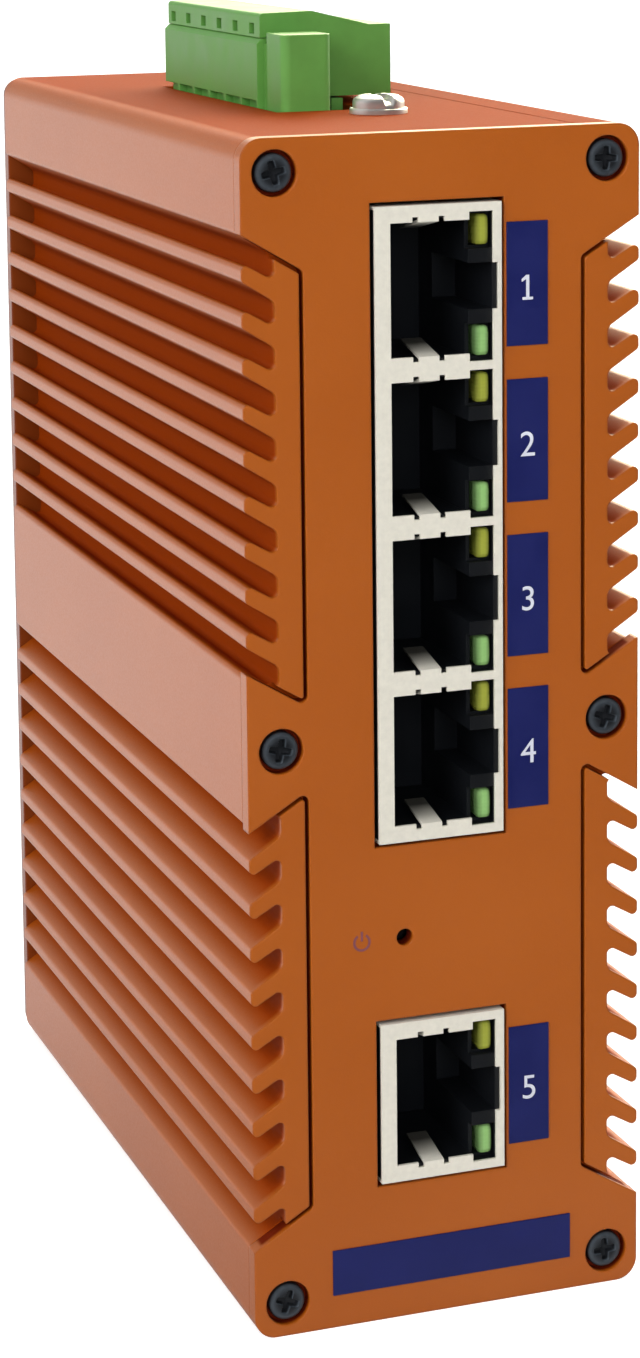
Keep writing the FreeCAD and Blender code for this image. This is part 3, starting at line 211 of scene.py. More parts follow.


# %% [markdown]
# ## The case's finish
# The case is extruded aluminium with a satin orange coat. Seen flat on, the coat shows its colour;
# seen along the surface it mirrors the room, so the sides and the top look paler and pinker. A plain
# dielectric shader gives this by itself, as long as its roughness is moderate. A fine grain comes
# from noise, and faint draw lines run the way that the profile left its die.
#
# Down in the grooves and in the plate's pockets the coat is rougher and gets painted shade: a deeper
# colour and a weaker mirror. Where a hollow begins follows from object coordinates, so no mask has to
# be painted: two small functions return 1 in the hollow and 0 on the outside.

# %% Colours and hollows
COAT_IOR = 1.55
ORANGE = (0.40, 0.089, 0.003, 1.0)
ORANGE_WORN = (0.425, 0.099, 0.005, 1.0)
# The next colour is painted shade for the floors of the grooves.
GROOVE_PAINTED_SHADE = (0.32, 0.043, 0.001, 1.0)
# The next colour is painted shade for the walls of the plate's holes and pockets.
POCKET_PAINTED_SHADE = (0.16, 0.014, 0.001, 1.0)
# The next two colours are the rear cover's coat, darker brown as painted shade for the shade on its edge.
COVER_PAINTED_SHADE = (0.19, 0.035, 0.004, 1.0)
COVER_PAINTED_SHADE_WORN = (0.21, 0.041, 0.005, 1.0)
GROOVE_FLOOR = WIDTH / 2 - 3.0 * MM
FIN_ENDS = corners("side_panel")[0][1]


def groove_shade_mask(tree, point):
    """Painted shade mask: 1 on the floor of a groove, 0 on the fins' tips and on the flush fin ends."""
    away = distance_from(tree, axis_of(tree, point, "X"), 0.0)
    behind = axis_of(tree, point, "Y")
    return product(tree, ramp(tree, away, GROOVE_FLOOR + 2.8 * MM, GROOVE_FLOOR + 1.0 * MM),
                   ramp(tree, behind, FIN_ENDS + 0.15 * MM, FIN_ENDS + 0.8 * MM))


def pocket_shade_mask(tree, point):
    """Painted shade mask: 1 on the walls of the plate's holes and pockets, 0 on its face and its outer
    edges.
    """
    away = distance_from(tree, axis_of(tree, point, "X"), 0.0)
    rise = distance_from(tree, axis_of(tree, point, "Z"), HEIGHT / 2)
    behind = axis_of(tree, point, "Y")
    inside = product(tree, ramp(tree, away, WIDTH / 2 - 0.6 * MM, WIDTH / 2 - 0.9 * MM),
                     ramp(tree, rise, HEIGHT / 2 - 0.6 * MM, HEIGHT / 2 - 0.9 * MM))
    return product(tree, inside, ramp(tree, behind, FRONT + 0.15 * MM, FRONT + 0.6 * MM))


print("groove floors at", round(GROOVE_FLOOR / MM, 2), "mm from the middle plane")


# %% [markdown]
# One function makes the coat for every piece of the case. The extrusions have draw lines along Y and
# grooves, the front plate has pockets, and the rear cover is coloured darker brown as painted shade,
# for the shade along its edge.

# %% Satin coat
CLOUD_SCALE = 45.0
GRAIN_SCALE = 5200.0
LINE_SCALE = 900.0
HOLLOW_ROUGH = 0.45                     # added to the roughness in a hollow
# Painted shade: the mirror is turned down in a hollow.
HOLLOW_GLOSS = 0.12                     # level of the mirror there, against 0.5 outside


def satin_coat(name, line_stretch, line_height, hollow=None, first=ORANGE, second=ORANGE_WORN,
               deep=GROOVE_PAINTED_SHADE):
    """Coat with grain, cloudy tone and lines along the axis with the smallest stretch. Where hollow
    gives 1 the coat is rougher and gets painted shade: the deep colour and a weaker mirror."""
    material, tree, shader = new_material(name)
    point = object_point(tree)
    cloud = noise(tree, point, CLOUD_SCALE, 3.0)
    colour = blend_colours(tree, ramp(tree, cloud, 0.35, 0.7), first, second)
    grain = noise(tree, point, GRAIN_SCALE, 2.0, 0.6)
    lines = noise(tree, object_point(tree, line_stretch), LINE_SCALE, 2.0)
    rough = ramp(tree, grain, 0.3, 0.7, 0.28, 0.38)
    if hollow:
        depth = hollow(tree, point)
        # Painted shade where the mask gives 1: a deeper colour and a weaker mirror.
        colour = blend_colours(tree, depth, colour, deep)
        dull = ramp(tree, depth, 0.0, 1.0, 0.5, HOLLOW_GLOSS)
        tree.links.new(dull, shader.inputs["Specular IOR Level"])
        rough = arithmetic(tree, "MULTIPLY_ADD", depth, HOLLOW_ROUGH, rough)
    tree.links.new(colour, shader.inputs["Base Color"])
    tree.links.new(rough, shader.inputs["Roughness"])
    shader.inputs["IOR"].default_value = COAT_IOR
    height = arithmetic(tree, "MULTIPLY_ADD", lines, line_height, grain)
    bump(tree, shader, height, 0.012 * MM, 0.9, 0.3 * MM)
    return material


extrusion_coat = satin_coat("orange_extrusion", (1, 0.02, 1), 1.2, groove_shade_mask)
for node in ("main_channel", "side_panel"):
    dress(node, extrusion_coat)
# The plate's holes and pockets get painted shade.
dress("front_plate", satin_coat("orange_plate", (1, 1, 1), 0.2, pocket_shade_mask, deep=POCKET_PAINTED_SHADE))
dress("rear_cover", satin_coat("rear_cover_painted_shade", (1, 1, 1), 0.2, None, COVER_PAINTED_SHADE, COVER_PAINTED_SHADE_WORN))
print("case dressed")


# %% [markdown]
# ## Plastics and metals
# The other finishes are simple: moulded plastic has a faint orange-peel bump, plated metal has a
# varied roughness. One function each makes them, with the colour and the gloss as its inputs. A socket's
# shield is bright at its rim; further in, its colour fades into painted shade for the dark of the
# opening, where its bent spring tabs lie.

# %% Moulded plastic and plated metal
def moulded(name, colour, roughness, peel=0.006 * MM, edge=0.12 * MM):
    """Moulded plastic: fine peel, slightly uneven gloss and tone."""
    material, tree, shader = new_material(name)
    point = object_point(tree)
    cloud = noise(tree, point, 300.0, 3.0)
    lighter = tuple(min(1.0, c * 1.12 + 0.001) for c in colour) + (1.0,)
    mixed = blend_colours(tree, ramp(tree, cloud, 0.35, 0.65), colour + (1.0,), lighter)
    tree.links.new(mixed, shader.inputs["Base Color"])
    rough = ramp(tree, cloud, 0.3, 0.7, roughness - 0.05, roughness + 0.07)
    tree.links.new(rough, shader.inputs["Roughness"])
    bump(tree, shader, noise(tree, point, 3000.0, 2.0), peel, 1.0, edge)
    return material


def plated(name, colour, roughness, metallic=1.0, painted_shade_from=None):
    """Plated or drawn metal: rolling marks and an uneven gloss; less metallic where the plate is dull.
    From a given place along y inwards, painted shade darkens the plate, for the dark of a socket's
    opening."""
    material, tree, shader = new_material(name)
    point = object_point(tree)
    marks = noise(tree, point, 1600.0, 4.0, 0.6)
    darker = tuple(0.92 * c for c in colour) + (1.0,)
    mixed = blend_colours(tree, ramp(tree, marks, 0.3, 0.7), darker, colour + (1.0,))
    if painted_shade_from is not None:
        # Painted shade: the colour fades to dark behind the given place.
        painted_shade_tint = tuple(0.07 * c for c in colour) + (1.0,)
        depth = ramp(tree, axis_of(tree, point, "Y"), painted_shade_from, painted_shade_from + 3.0 * MM)
        mixed = blend_colours(tree, depth, mixed, painted_shade_tint)
    tree.links.new(mixed, shader.inputs["Base Color"])
    shader.inputs["Metallic"].default_value = metallic
    rough = ramp(tree, marks, 0.3, 0.7, roughness - 0.07, roughness + 0.1)
    tree.links.new(rough, shader.inputs["Roughness"])
    bump(tree, shader, marks, 0.004 * MM, 1.0, 0.1 * MM)
    return material


print("plastic and metal ready")


# %% [markdown]
# Two finishes depend on where a point lies in its own piece. A blackened screw head gets a painted
# highlight, a blue-grey ring round its rim, and stays almost black in its cross. A light bar gets
# painted light: a painted highlight along its middle and painted shade at both sides.

# %% Screw heads and light bars
LAMP_SHIFT = 0.35 * MM                  # the bars stand a little to the +X side in their slots
HEAD_BLACK = (0.018, 0.020, 0.024, 1.0)
# The next colour is a painted highlight for the heads' rims.
HEAD_PAINTED_HIGHLIGHT = (0.066, 0.080, 0.096, 1.0)


def oxide_head(name, front_face, rear_face):
    """Black oxide on a screw head, with a painted highlight of blue grey round the rim and almost black in
    the cross. How deep a point lies below its own head's crown follows from its distance to the middle
    plane."""
    material, tree, shader = new_material(name)
    point = object_point(tree)
    marks = noise(tree, point, 1600.0, 4.0, 0.6)
    off = distance_from(tree, axis_of(tree, point, "Y"), (front_face + rear_face) / 2)
    sunk = arithmetic(tree, "SUBTRACT", (rear_face - front_face) / 2, off)
    # Painted highlight: a ring between these depths, over the rim's rounding.
    rim_highlight = product(tree, ramp(tree, sunk, 0.03 * MM, 0.08 * MM), ramp(tree, sunk, 0.30 * MM, 0.16 * MM))
    rim_highlight = product(tree, rim_highlight, ramp(tree, marks, 0.2, 0.6, 0.6, 1.0))
    colour = blend_colours(tree, rim_highlight, HEAD_BLACK, HEAD_PAINTED_HIGHLIGHT)
    tree.links.new(colour, shader.inputs["Base Color"])
    tree.links.new(ramp(tree, marks, 0.3, 0.7, 0.28, 0.42), shader.inputs["Roughness"])
    shader.inputs["Metallic"].default_value = 0.3
    bump(tree, shader, marks, 0.004 * MM)
    return material


def painted_light_guide(name, colour, node):
    """Clear tinted plastic with painted light: a painted highlight along the middle, painted shade at both
    sides, faintly ribbed.
    """
    material, tree, shader = new_material(name)
    low, high = corners(node)
    point = object_point(tree)
    aside = distance_from(tree, axis_of(tree, point, "X"), (low[0] + high[0]) / 2 + LAMP_SHIFT)
    half = (high[0] - low[0]) / 2
    # Painted shade at the sides, painted highlight along the middle.
    deep = tuple(0.32 * c for c in colour) + (1.0,)
    mixed = blend_colours(tree, ramp(tree, aside, 0.25 * half, 1.0 * half), colour + (1.0,), deep)
    tree.links.new(mixed, shader.inputs["Base Color"])
    shader.inputs["Roughness"].default_value = 0.16
    ribs = add(tree, "ShaderNodeTexWave", {"bands_direction": "Z"}, Vector=point, Scale=900.0).outputs[1]
    bump(tree, shader, ribs, 0.02 * MM, 0.8)
    return material


print("heads and bars ready")


# %% [markdown]
# The CAD record names a material slot for every piece. A table from slot to finish dresses all pieces
# that are left, so a new piece only has to name its slot.

# %% One finish for each slot
FINISHES = {
    "screw_black": oxide_head("black_oxide", corners("front_screws")[0][1], corners("rear_screws")[1][1]),
    "label_blue": moulded("blue_foil", (0.005, 0.009, 0.100), 0.45),
    "board_green": moulded("solder_mask", (0.02, 0.16, 0.05), 0.3),
    "chip_black": moulded("chip_resin", (0.02, 0.02, 0.022), 0.6),
    "ferrite": moulded("pressed_ferrite", (0.05, 0.05, 0.055), 0.6, 0.02 * MM),
    "can_aluminium": plated("can_skin", (0.8, 0.8, 0.82), 0.25),
    "plated_steel": plated("nickel_plate", (0.84, 0.82, 0.78), 0.36, metallic=0.85),
    # The shields get painted shade behind their rims.
    "jack_shield": plated("tinned_sheet", (0.94, 0.90, 0.78), 0.42, metallic=0.25,
                          painted_shade_from=JACK_FACE + 0.4 * MM),
    "jack_black": moulded("black_nylon", (0.006, 0.007, 0.009), 0.5),
    "contact_gold": plated("gold_flash", (0.86, 0.62, 0.26), 0.22),
    "lamp_yellow": painted_light_guide("yellow_guide_painted_light", (0.33, 0.36, 0.05), "yellow_lamps"),
    "lamp_green": painted_light_guide("green_guide_painted_light", (0.27, 0.50, 0.17), "green_lamps"),
    # The power lamp is coloured almost black, which makes its hole dark.
    "lamp_clear": moulded("near_black_lamp", (0.012, 0.010, 0.010), 0.2),
    "pin_tinned": plated("tinned_pin", (0.82, 0.81, 0.78), 0.28),
    "terminal_green": moulded("green_polyamide", (0.105, 0.29, 0.055), 0.45),
    "clip_aluminium": plated("tumbled_aluminium", (0.42, 0.43, 0.45), 0.42, metallic=0.4),
    "spring_steel": plated("drawn_wire", (0.52, 0.52, 0.54), 0.3),
}
for part in frame["record"]["subparts"]:
    if part["material_slot"] in FINISHES:
        dress(part["node"], FINISHES[part["material_slot"]])
print("finishes:", len(FINISHES))


# %% [markdown]
# ## Screws and light bars
# Small turned and moulded pieces are made as numpy surfaces, because a formula gives clean rows of
# faces. Points are one array. Faces are kept as blocks, one array for each run of faces with the same
# number of corners. Each new piece then gets its material and body, and the CAD nodes it stands for are
# hidden.

# %% New pieces from arrays
def mesh_object(name, points, blocks, smooth=True):
    """Puts points and blocks of faces into a new mesh whose object sits at the origin."""
    mesh = bpy.data.meshes.new(name)
    mesh.from_pydata(points.tolist(), [], [face for block in blocks for face in block.tolist()])
    mesh.polygons.foreach_set("use_smooth", np.full(len(mesh.polygons), smooth))
    mesh.update()
    made = bpy.data.objects.new(name, mesh)
    bpy.context.scene.collection.objects.link(made)
    return made


def finish_piece(piece, material, body, slot, *nodes_replaced):
    """Gives a new piece its material and body, and hides the CAD nodes that it stands for. The slot
    argument is not used.
    """
    piece.data.materials.append(material)
    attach(piece, body)
    if nodes_replaced:
        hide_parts(*nodes_replaced)
    return piece


def joined(parts):
    """Several sets of points and blocks as one set."""
    starts = np.cumsum([0] + [len(points) for points, _ in parts[:-1]])
    blocks = [block + start for (_, rows), start in zip(parts, starts) for block in rows]
    return np.vstack([points for points, _ in parts]), blocks


def tube_blocks(rings, sides):
    """Faces of a tube with the given number of rings: its wall, then its first and its last end."""
    here = np.arange(sides)
    there = (here + 1) % sides
    row = sides * np.arange(rings - 1)[:, None]
    wall = np.stack([row + here, row + there, row + sides + there, row + sides + here], axis=-1)
    return [wall.reshape(-1, 4), here[None, ::-1], sides * (rings - 1) + here[None]]


print("mesh helpers ready")


# %% [markdown]
# A screw's head, a light bar's face and a washer are all caps: rings that grow from a middle point
# and then turn down over an edge. One function makes them from an outline, a row of ring sizes and a
# row of depths. A recess is pressed into a head by adding depth where a smooth cross or slot lies.

# %% Caps on a polar grid
def edge_rows(radius, edge, height, flat_rows=20, turn_rows=7, dome=0.0):
    """Ring sizes (0..1 of the radius) and depths of a cap: a flat or slightly domed middle, a quarter
    circle over the edge, then the side down to the given height."""
    flat = np.linspace(0.0, radius - edge, flat_rows + 1)[1:]
    turn = np.linspace(0.0, math.pi / 2, turn_rows)[1:]
    size = np.concatenate([flat, radius - edge + edge * np.sin(turn), [radius]]) / radius
    depth = np.concatenate([dome * (flat / radius) ** 2,
                            dome + edge * (1 - np.cos(turn)), [height]])
    return size, depth


def cap(centre, right, up, half_sizes, size, depth, turn=0.0, power=2.0, recess=None, columns=64):
    """Points and blocks of one cap. The outline is a superellipse |u/a|^p + |v/b|^p = 1; ring i is the
    outline times size[i], sunk by depth[i] plus recess(u, v), along the cap's inward direction."""
    angle = np.linspace(0.0, 2 * math.pi, columns, endpoint=False)
    circle_u = np.sign(np.cos(angle)) * np.abs(np.cos(angle)) ** (2 / power)
    circle_v = np.sign(np.sin(angle)) * np.abs(np.sin(angle)) ** (2 / power)
    u = np.append(0.0, np.outer(size, circle_u * half_sizes[0]))
    v = np.append(0.0, np.outer(size, circle_v * half_sizes[1]))
    down = np.append(0.0, np.repeat(depth, columns))
    if recess is not None:
        down = down + recess(u, v)
    right, up = np.array(right, float), np.array(up, float)
    along_u = math.cos(turn) * right + math.sin(turn) * up
    along_v = math.cos(turn) * up - math.sin(turn) * right
    inward = -np.cross(right, up)
    points = np.array(centre) + np.outer(u, along_u) + np.outer(v, along_v) + np.outer(down, inward)
    here = np.arange(columns)
    there = (here + 1) % columns
    fan = np.column_stack([np.zeros(columns, int), 1 + here, 1 + there])
    ring = 1 + columns * np.arange(len(size) - 1)[:, None]
    quads = np.stack([ring + here, ring + columns + here, ring + columns + there, ring + there], axis=-1)
    return points, [fan, quads.reshape(-1, 4)]


print("caps ready")


# %% [markdown]
# Six black cross-head screws hold each end plate. Their heads sit in round pockets and were turned
# home by hand, so no two crosses stand alike. The recess narrows and gets shallower outwards.

# %% Cross-head case screws
HEAD_RADIUS = 1.7 * MM
HEAD_HEIGHT = 1.15 * MM


def smooth_step(x, start, end):
    """0 before start, 1 after end, with a soft rise 3t^2 - 2t^3 between."""
    t = np.clip((x - start) / (end - start), 0.0, 1.0)
    return t * t * (3 - 2 * t)


def cross_recess(u, v, span=1.05 * MM, width=0.3 * MM, deep=0.8 * MM):
    """Depth of a cross: two arms whose sides slope and whose ends run out, widest in the middle."""
    def arm(p, q):
        half = width * (1.25 - 0.35 * np.abs(p) / span)
        return (1 - smooth_step(np.abs(q), 0.7 * half, 1.15 * half)) * \
            (1 - smooth_step(np.abs(p), 0.8 * span, 1.1 * span))
    reach = np.hypot(u, v)
    return deep * np.maximum(arm(u, v), arm(v, u)) * (1 - 0.35 * np.clip(reach / span, 0, 1))


def case_screws(name, node, right, up, face_y, seed):
    """Heads at the six screw places of an end plate."""
    low, high = corners(node)
    rng = np.random.default_rng(seed)
    size, depth = edge_rows(HEAD_RADIUS, 0.32 * MM, HEAD_HEIGHT, 24, 6, 0.12 * MM)
    across = (low[0] + HEAD_RADIUS, high[0] - HEAD_RADIUS)
    rows = (low[2] + HEAD_RADIUS, (low[2] + high[2]) / 2, high[2] - HEAD_RADIUS)
    turns = np.radians(rng.uniform(-22, 22, 6))
    places = [(x, face_y, z) for x in across for z in rows]
    parts = [cap(place, right, up, (HEAD_RADIUS, HEAD_RADIUS), size, depth, turn, 2.0, cross_recess)
             for place, turn in zip(places, turns)]
    return mesh_object(name, *joined(parts))


black_oxide = FINISHES["screw_black"]
front_heads = case_screws("front_screw_heads", "front_screws", (1, 0, 0), (0, 0, 1),
                          corners("front_screws")[0][1], 3)
finish_piece(front_heads, black_oxide, "case", "screw_black", "front_screws")
rear_heads = case_screws("rear_screw_heads", "rear_screws", (-1, 0, 0), (0, 0, 1),
                         corners("rear_screws")[1][1], 8)
finish_piece(rear_heads, black_oxide, "case", "screw_black", "rear_screws")
print("heads:", len(front_heads.data.polygons), "faces")


# %% [markdown]
# Two clear plastic light bars end beside each socket, yellow at the top and green at the bottom. Their
# ends are rounded and polished, so each shows a small soft glint. A superellipse of power 5 is a
# rectangle with full corners, and it needs no separate bevel.

# %% Light bars
BAR_HALF_HEIGHT = 1.35 * MM
BAR_AWAY = 4.9 * MM                     # a bar's centre above or below its port's centre


def light_bars(name, node, side):
    """Polished bar ends at every port, above (side 1) or below (side -1) its centre."""
    low, high = corners(node)
    half = ((high[0] - low[0]) / 2, BAR_HALF_HEIGHT)
    middle_x = (low[0] + high[0]) / 2 + LAMP_SHIFT
    size, depth = edge_rows(BAR_HALF_HEIGHT, 0.38 * MM, high[1] - low[1], 8, 7, 0.10 * MM)
    parts = [cap((middle_x, low[1], z + side * BAR_AWAY), (1, 0, 0), (0, 0, 1), half,
                 size, depth, 0.0, 5.0, columns=48) for z in PORT_Z]
    return mesh_object(name, *joined(parts))


finish_piece(light_bars("yellow_bars", "yellow_lamps", 1), FINISHES["lamp_yellow"],
             "case", "lamp_yellow", "yellow_lamps")
finish_piece(light_bars("green_bars", "green_lamps", -1), FINISHES["lamp_green"],
             "case", "lamp_green", "green_lamps")
print("bars on", len(PORT_Z), "ports")


# %% [markdown]
# The ground point on top is a bright pan-head screw on a washer. It takes both a flat blade and a
# cross driver, so a long slot and a cross share the middle of the head.

# %% Ground screw and washer
def combined_recess(u, v):
    """A slot right across the head, along v, with a cross in the middle: the deeper of the two."""
    slot = 0.55 * MM * (1 - smooth_step(np.abs(u), 0.42 * MM, 0.52 * MM))
    return np.maximum(slot, cross_recess(u, v, 1.3 * MM, 0.42 * MM, 0.75 * MM))


screw_low, screw_high = corners("ground_screw")
washer_low, washer_high = corners("ground_washer")
ground_x, ground_y = (washer_low[:2] + washer_high[:2]) / 2
head_radius = (screw_high[0] - screw_low[0]) / 2
size, depth = edge_rows(head_radius, 0.55 * MM, screw_high[2] - washer_high[2], 24, 8, 0.25 * MM)
ground_head = mesh_object("ground_head", *cap(
    (ground_x, ground_y, screw_high[2]), (1, 0, 0), (0, 1, 0), (head_radius, head_radius),
    size, depth, math.radians(6), 2.0, combined_recess, 96))
finish_piece(ground_head, FINISHES["plated_steel"], "case", "plated_steel", "ground_screw")
washer_radius = (washer_high[0] - washer_low[0]) / 2
size, depth = edge_rows(washer_radius, 0.12 * MM, washer_high[2] - washer_low[2], 3, 5)
washer = mesh_object("ground_ring", *cap(
    (ground_x, ground_y, washer_high[2]), (1, 0, 0), (0, 1, 0), (washer_radius, washer_radius),
    size, depth, columns=96))
finish_piece(washer, FINISHES["plated_steel"], "case", "plated_steel", "ground_washer")
print("ground point at", np.round([ground_x, ground_y], 4))


# %% [markdown]
# ## Contact springs
# Eight gold wires lie on the floor of each socket, turn back near the mouth and rise inwards. Each is
# a thin strip: one bent line, made of two straight runs and a half turn, with a rounded section
# carried along it, then copied for the eight places of every port.

# %% Spring wires
WIRE_COUNT = 8
WIRE_PITCH = 1.02 * MM
WIRE_HALF = (0.22 * MM, 0.12 * MM)      # half of a strip's width and of its thickness
BEND_RADIUS = 0.42 * MM
WIRE_LIFT = 0.16 * MM                   # a strip's middle line over the socket's floor


def spring_line(floor, face):
    """The bent line as rows of x, y: back to front on the floor, half a turn, then up and back."""
    rest = floor + WIRE_LIFT
    bend_x, bend_y = rest + BEND_RADIUS, face + 3.6 * MM
    turn = np.linspace(-math.pi / 2, math.radians(65), 10)
    loop = np.column_stack([bend_x + BEND_RADIUS * np.sin(turn), bend_y - BEND_RADIUS * np.cos(turn)])
    start = [[rest, face + 12.0 * MM]]
    end = [[floor + 2.75 * MM, face + 10.2 * MM]]
    return np.vstack([start, loop, end])


def spring_wires(name, ports_z):
    """Carries a six-sided section along the bent line at every wire's height."""
    line = spring_line(BOARD_FACE + 1.45 * MM, JACK_FACE)
    run = np.gradient(line, axis=0)
    run /= np.linalg.norm(run, axis=1)[:, None]
    side = np.column_stack([run[:, 1], -run[:, 0]])
    around = np.linspace(0, 2 * math.pi, 6, endpoint=False)
    flat, thick = WIRE_HALF[0] * np.cos(around), WIRE_HALF[1] * np.sin(around)
    xy = line[:, None, :] + side[:, None, :] * thick[None, :, None]
    z = np.broadcast_to(flat, xy.shape[:2])
    ring = np.dstack([xy, z]).reshape(-1, 3)
    places = np.arange(WIRE_COUNT) - (WIRE_COUNT - 1) / 2
    heights = (ports_z[:, None] + places * WIRE_PITCH).ravel()
    points = ring[None] + np.array([0.0, 0.0, 1.0]) * heights[:, None, None]
    one = tube_blocks(len(line), 6)
    return mesh_object(name, *joined([(wire, one) for wire in points]))


finish_piece(spring_wires("block_springs", BLOCK_PORT_Z), FINISHES["contact_gold"],
             "case", "contact_gold", "jack_block_contacts")
finish_piece(spring_wires("single_springs", SINGLE_PORT_Z), FINISHES["contact_gold"],
             "case", "contact_gold", "jack_single_contacts")
print("springs:", WIRE_COUNT * len(PORT_Z))


# %% [markdown]
# The rail latch is held up by a small coil spring in a window of the clip. Its foot stands on the clip
# and its head is pushed down by the latch, so the real coil gets shorter as the latch is pulled. A wire's
# round section is carried along a screw line.

# %% Latch spring
WIRE = 0.5 * MM
COIL_TURNS = 6
coil_low, coil_high = corners("din_spring")


def coil(low, high, wire, turns, per_turn=28, sides=12):
    """A round wire round the axis of a box: the centre line is (r cos a, r sin a, p a), and a section
    point lies wire/2 from it along cos b * outwards + sin b * across, where across = along x outwards."""
    radius = (high[0] - low[0] - wire) / 2
    rise = (high[2] - low[2] - wire) / (2 * math.pi * turns)
    a = np.linspace(0.0, 2 * math.pi * turns, per_turn * turns + 1)
    b = np.linspace(0.0, 2 * math.pi, sides, endpoint=False)
    line = np.column_stack([radius * np.cos(a), radius * np.sin(a), rise * a])
    outwards = np.column_stack([np.cos(a), np.sin(a), 0 * a])
    along = np.column_stack([-radius * np.sin(a), radius * np.cos(a), rise + 0 * a])
    along /= np.linalg.norm(along, axis=1)[:, None]
    across = np.cross(along, outwards)
    section = np.cos(b)[:, None] * outwards[:, None] + np.sin(b)[:, None] * across[:, None]
    foot = np.array([(low[0] + high[0]) / 2, (low[1] + high[1]) / 2, low[2] + wire / 2])
    points = (foot + line[:, None] + section * wire / 2).reshape(-1, 3)
    return points, tube_blocks(len(a), sides)


latch_coil = finish_piece(mesh_object("latch_coil", *coil(coil_low, coil_high, WIRE, COIL_TURNS)),
                          FINISHES["spring_steel"], "case", "spring_steel", "din_spring")
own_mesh(latch_coil)


# %% [markdown]
# ## Printing
# The blue labels carry the port numbers 1 to 5 in white. A number is a text curve made into a mesh,
# except the 1, which is drawn as a stem with its flag and foot. The figures lie a hair's breadth over
# the label, so that they don't flicker with it.

# %% Port numbers
PRINT_LIFT = 0.015 * MM
label_low = corners("port_labels")[0]


def flat_digit(text, height, centre_x, centre_z, y):
    """A figure as points and blocks in the front plane, scaled to a height and centred."""
    curve = bpy.data.curves.new("figure_" + text, "FONT")
    curve.body = text
    curve.fill_mode = "FRONT"
    holder = bpy.data.objects.new("figure_" + text, curve)
    bpy.context.scene.collection.objects.link(holder)
    mesh = bpy.data.meshes.new_from_object(holder)
    flat = np.zeros(len(mesh.vertices) * 3)
    mesh.vertices.foreach_get("co", flat)
    flat = flat.reshape(-1, 3)
    blocks = [np.array([face.vertices[:]]) for face in mesh.polygons]
    bpy.data.objects.remove(holder)
    low, high = flat.min(axis=0), flat.max(axis=0)
    flat = (flat - (low + high) / 2) * height / (high[1] - low[1])
    points = np.column_stack([centre_x + flat[:, 0], np.full(len(flat), y), centre_z + flat[:, 1]])
    return points, blocks


def figure_one(height, centre_x, centre_z, y):
    """The figure 1 as three flat quads: stem, flag and foot, in units of its height."""
    stem = [(-0.06, -0.5), (0.08, -0.5), (0.08, 0.5), (-0.06, 0.5)]
    flag = [(-0.25, 0.22), (-0.06, 0.33), (-0.06, 0.5), (-0.25, 0.34)]
    foot = [(-0.22, -0.5), (0.24, -0.5), (0.24, -0.39), (-0.22, -0.39)]
    flat = np.array([stem, flag, foot]).reshape(-1, 2) * height
    points = np.column_stack([centre_x + flat[:, 0], np.repeat([y, y, y - 0.002 * MM], 4),
                              centre_z + flat[:, 1]])
    return points, [np.arange(12).reshape(3, 4)]


DIGIT_HEIGHT = 2.2 * MM
DIGIT_X = label_low[0] + 1.95 * MM
DIGIT_Y = label_low[1] - PRINT_LIFT
DIGIT_Z = PORT_Z - 0.35 * MM
digits = joined([figure_one(DIGIT_HEIGHT, DIGIT_X, DIGIT_Z[0], DIGIT_Y)] + [
    flat_digit(str(i + 2), DIGIT_HEIGHT, DIGIT_X, z, DIGIT_Y) for i, z in enumerate(DIGIT_Z[1:])])
port_numbers = mesh_object("port_numbers", *digits, smooth=False)
white_ink = moulded("white_ink", (0.62, 0.64, 0.72), 0.5, 0.002 * MM, 0.0)
finish_piece(port_numbers, white_ink, "case", "label_blue")
print("figures:", len(port_numbers.data.polygons), "faces")


# %% [markdown]
# A small purple mark for power is printed beside the lamp hole. It is a flat ring with an opening at
# the top and a bar that stands in the opening, both worked out on a small grid.

# %% Power mark
MARK_X = PLATE_LOW[0] + 10.4 * MM
MARK_Z = (BLOCK_PORT_Z[-1] + SINGLE_PORT_Z[0]) / 2 - 0.5 * MM
MARK_RADIUS = 0.72 * MM
MARK_LINE = 0.22 * MM
MARK_STEPS = 40


def ring_sector(radius, width, start, end, y):
    """A flat ring between two angles: points at radius +- width/2 on a grid of MARK_STEPS x 2."""
    angle = np.linspace(start, end, MARK_STEPS)
    radii = np.array([radius - width / 2, radius + width / 2])
    x = MARK_X + np.outer(radii, np.cos(angle))
    z = MARK_Z + np.outer(radii, np.sin(angle))
    points = np.column_stack([x.ravel(), np.full(x.size, y), z.ravel()])
    i = np.arange(MARK_STEPS - 1)
    return points, [np.column_stack([i + 1, i + MARK_STEPS + 1, i + MARK_STEPS, i])]


def upright_bar(width, low, high, y):
    """A flat upright bar as one face."""
    x = MARK_X + np.array([-1, 1, 1, -1]) * width / 2
    z = MARK_Z + np.array([low, low, high, high])
    return np.column_stack([x, np.full(4, y), z]), [np.arange(4)[None]]


mark_y = PLATE_LOW[1] - PRINT_LIFT
power_mark = mesh_object("power_mark", *joined([
    ring_sector(MARK_RADIUS, MARK_LINE, math.radians(122), math.radians(418), mark_y),
    upright_bar(MARK_LINE, 0.1 * MM, 1.0 * MM, mark_y)]), smooth=False)
purple_ink = moulded("purple_ink", (0.19, 0.055, 0.075), 0.5, 0.002 * MM, 0.0)
finish_piece(power_mark, purple_ink, "case", "label_blue")
print("mark at", round(MARK_Z / MM, 2))


# %% [markdown]
# ## Floor, backdrop and light
# The room is a pale cove: a floor that sweeps up into a backdrop. The cove and the world look white to
# the camera and light the object no more than a grey room would, by Light Path, so colours stay as they
# are written. In mirrors the room is white at the sides, dark in front, dimmer high up on the left, and
# has a bright warm reflector high up behind on the right. So the front face shows its plain colour, the
# left side its pale gloss, and the top face a warm sheen.

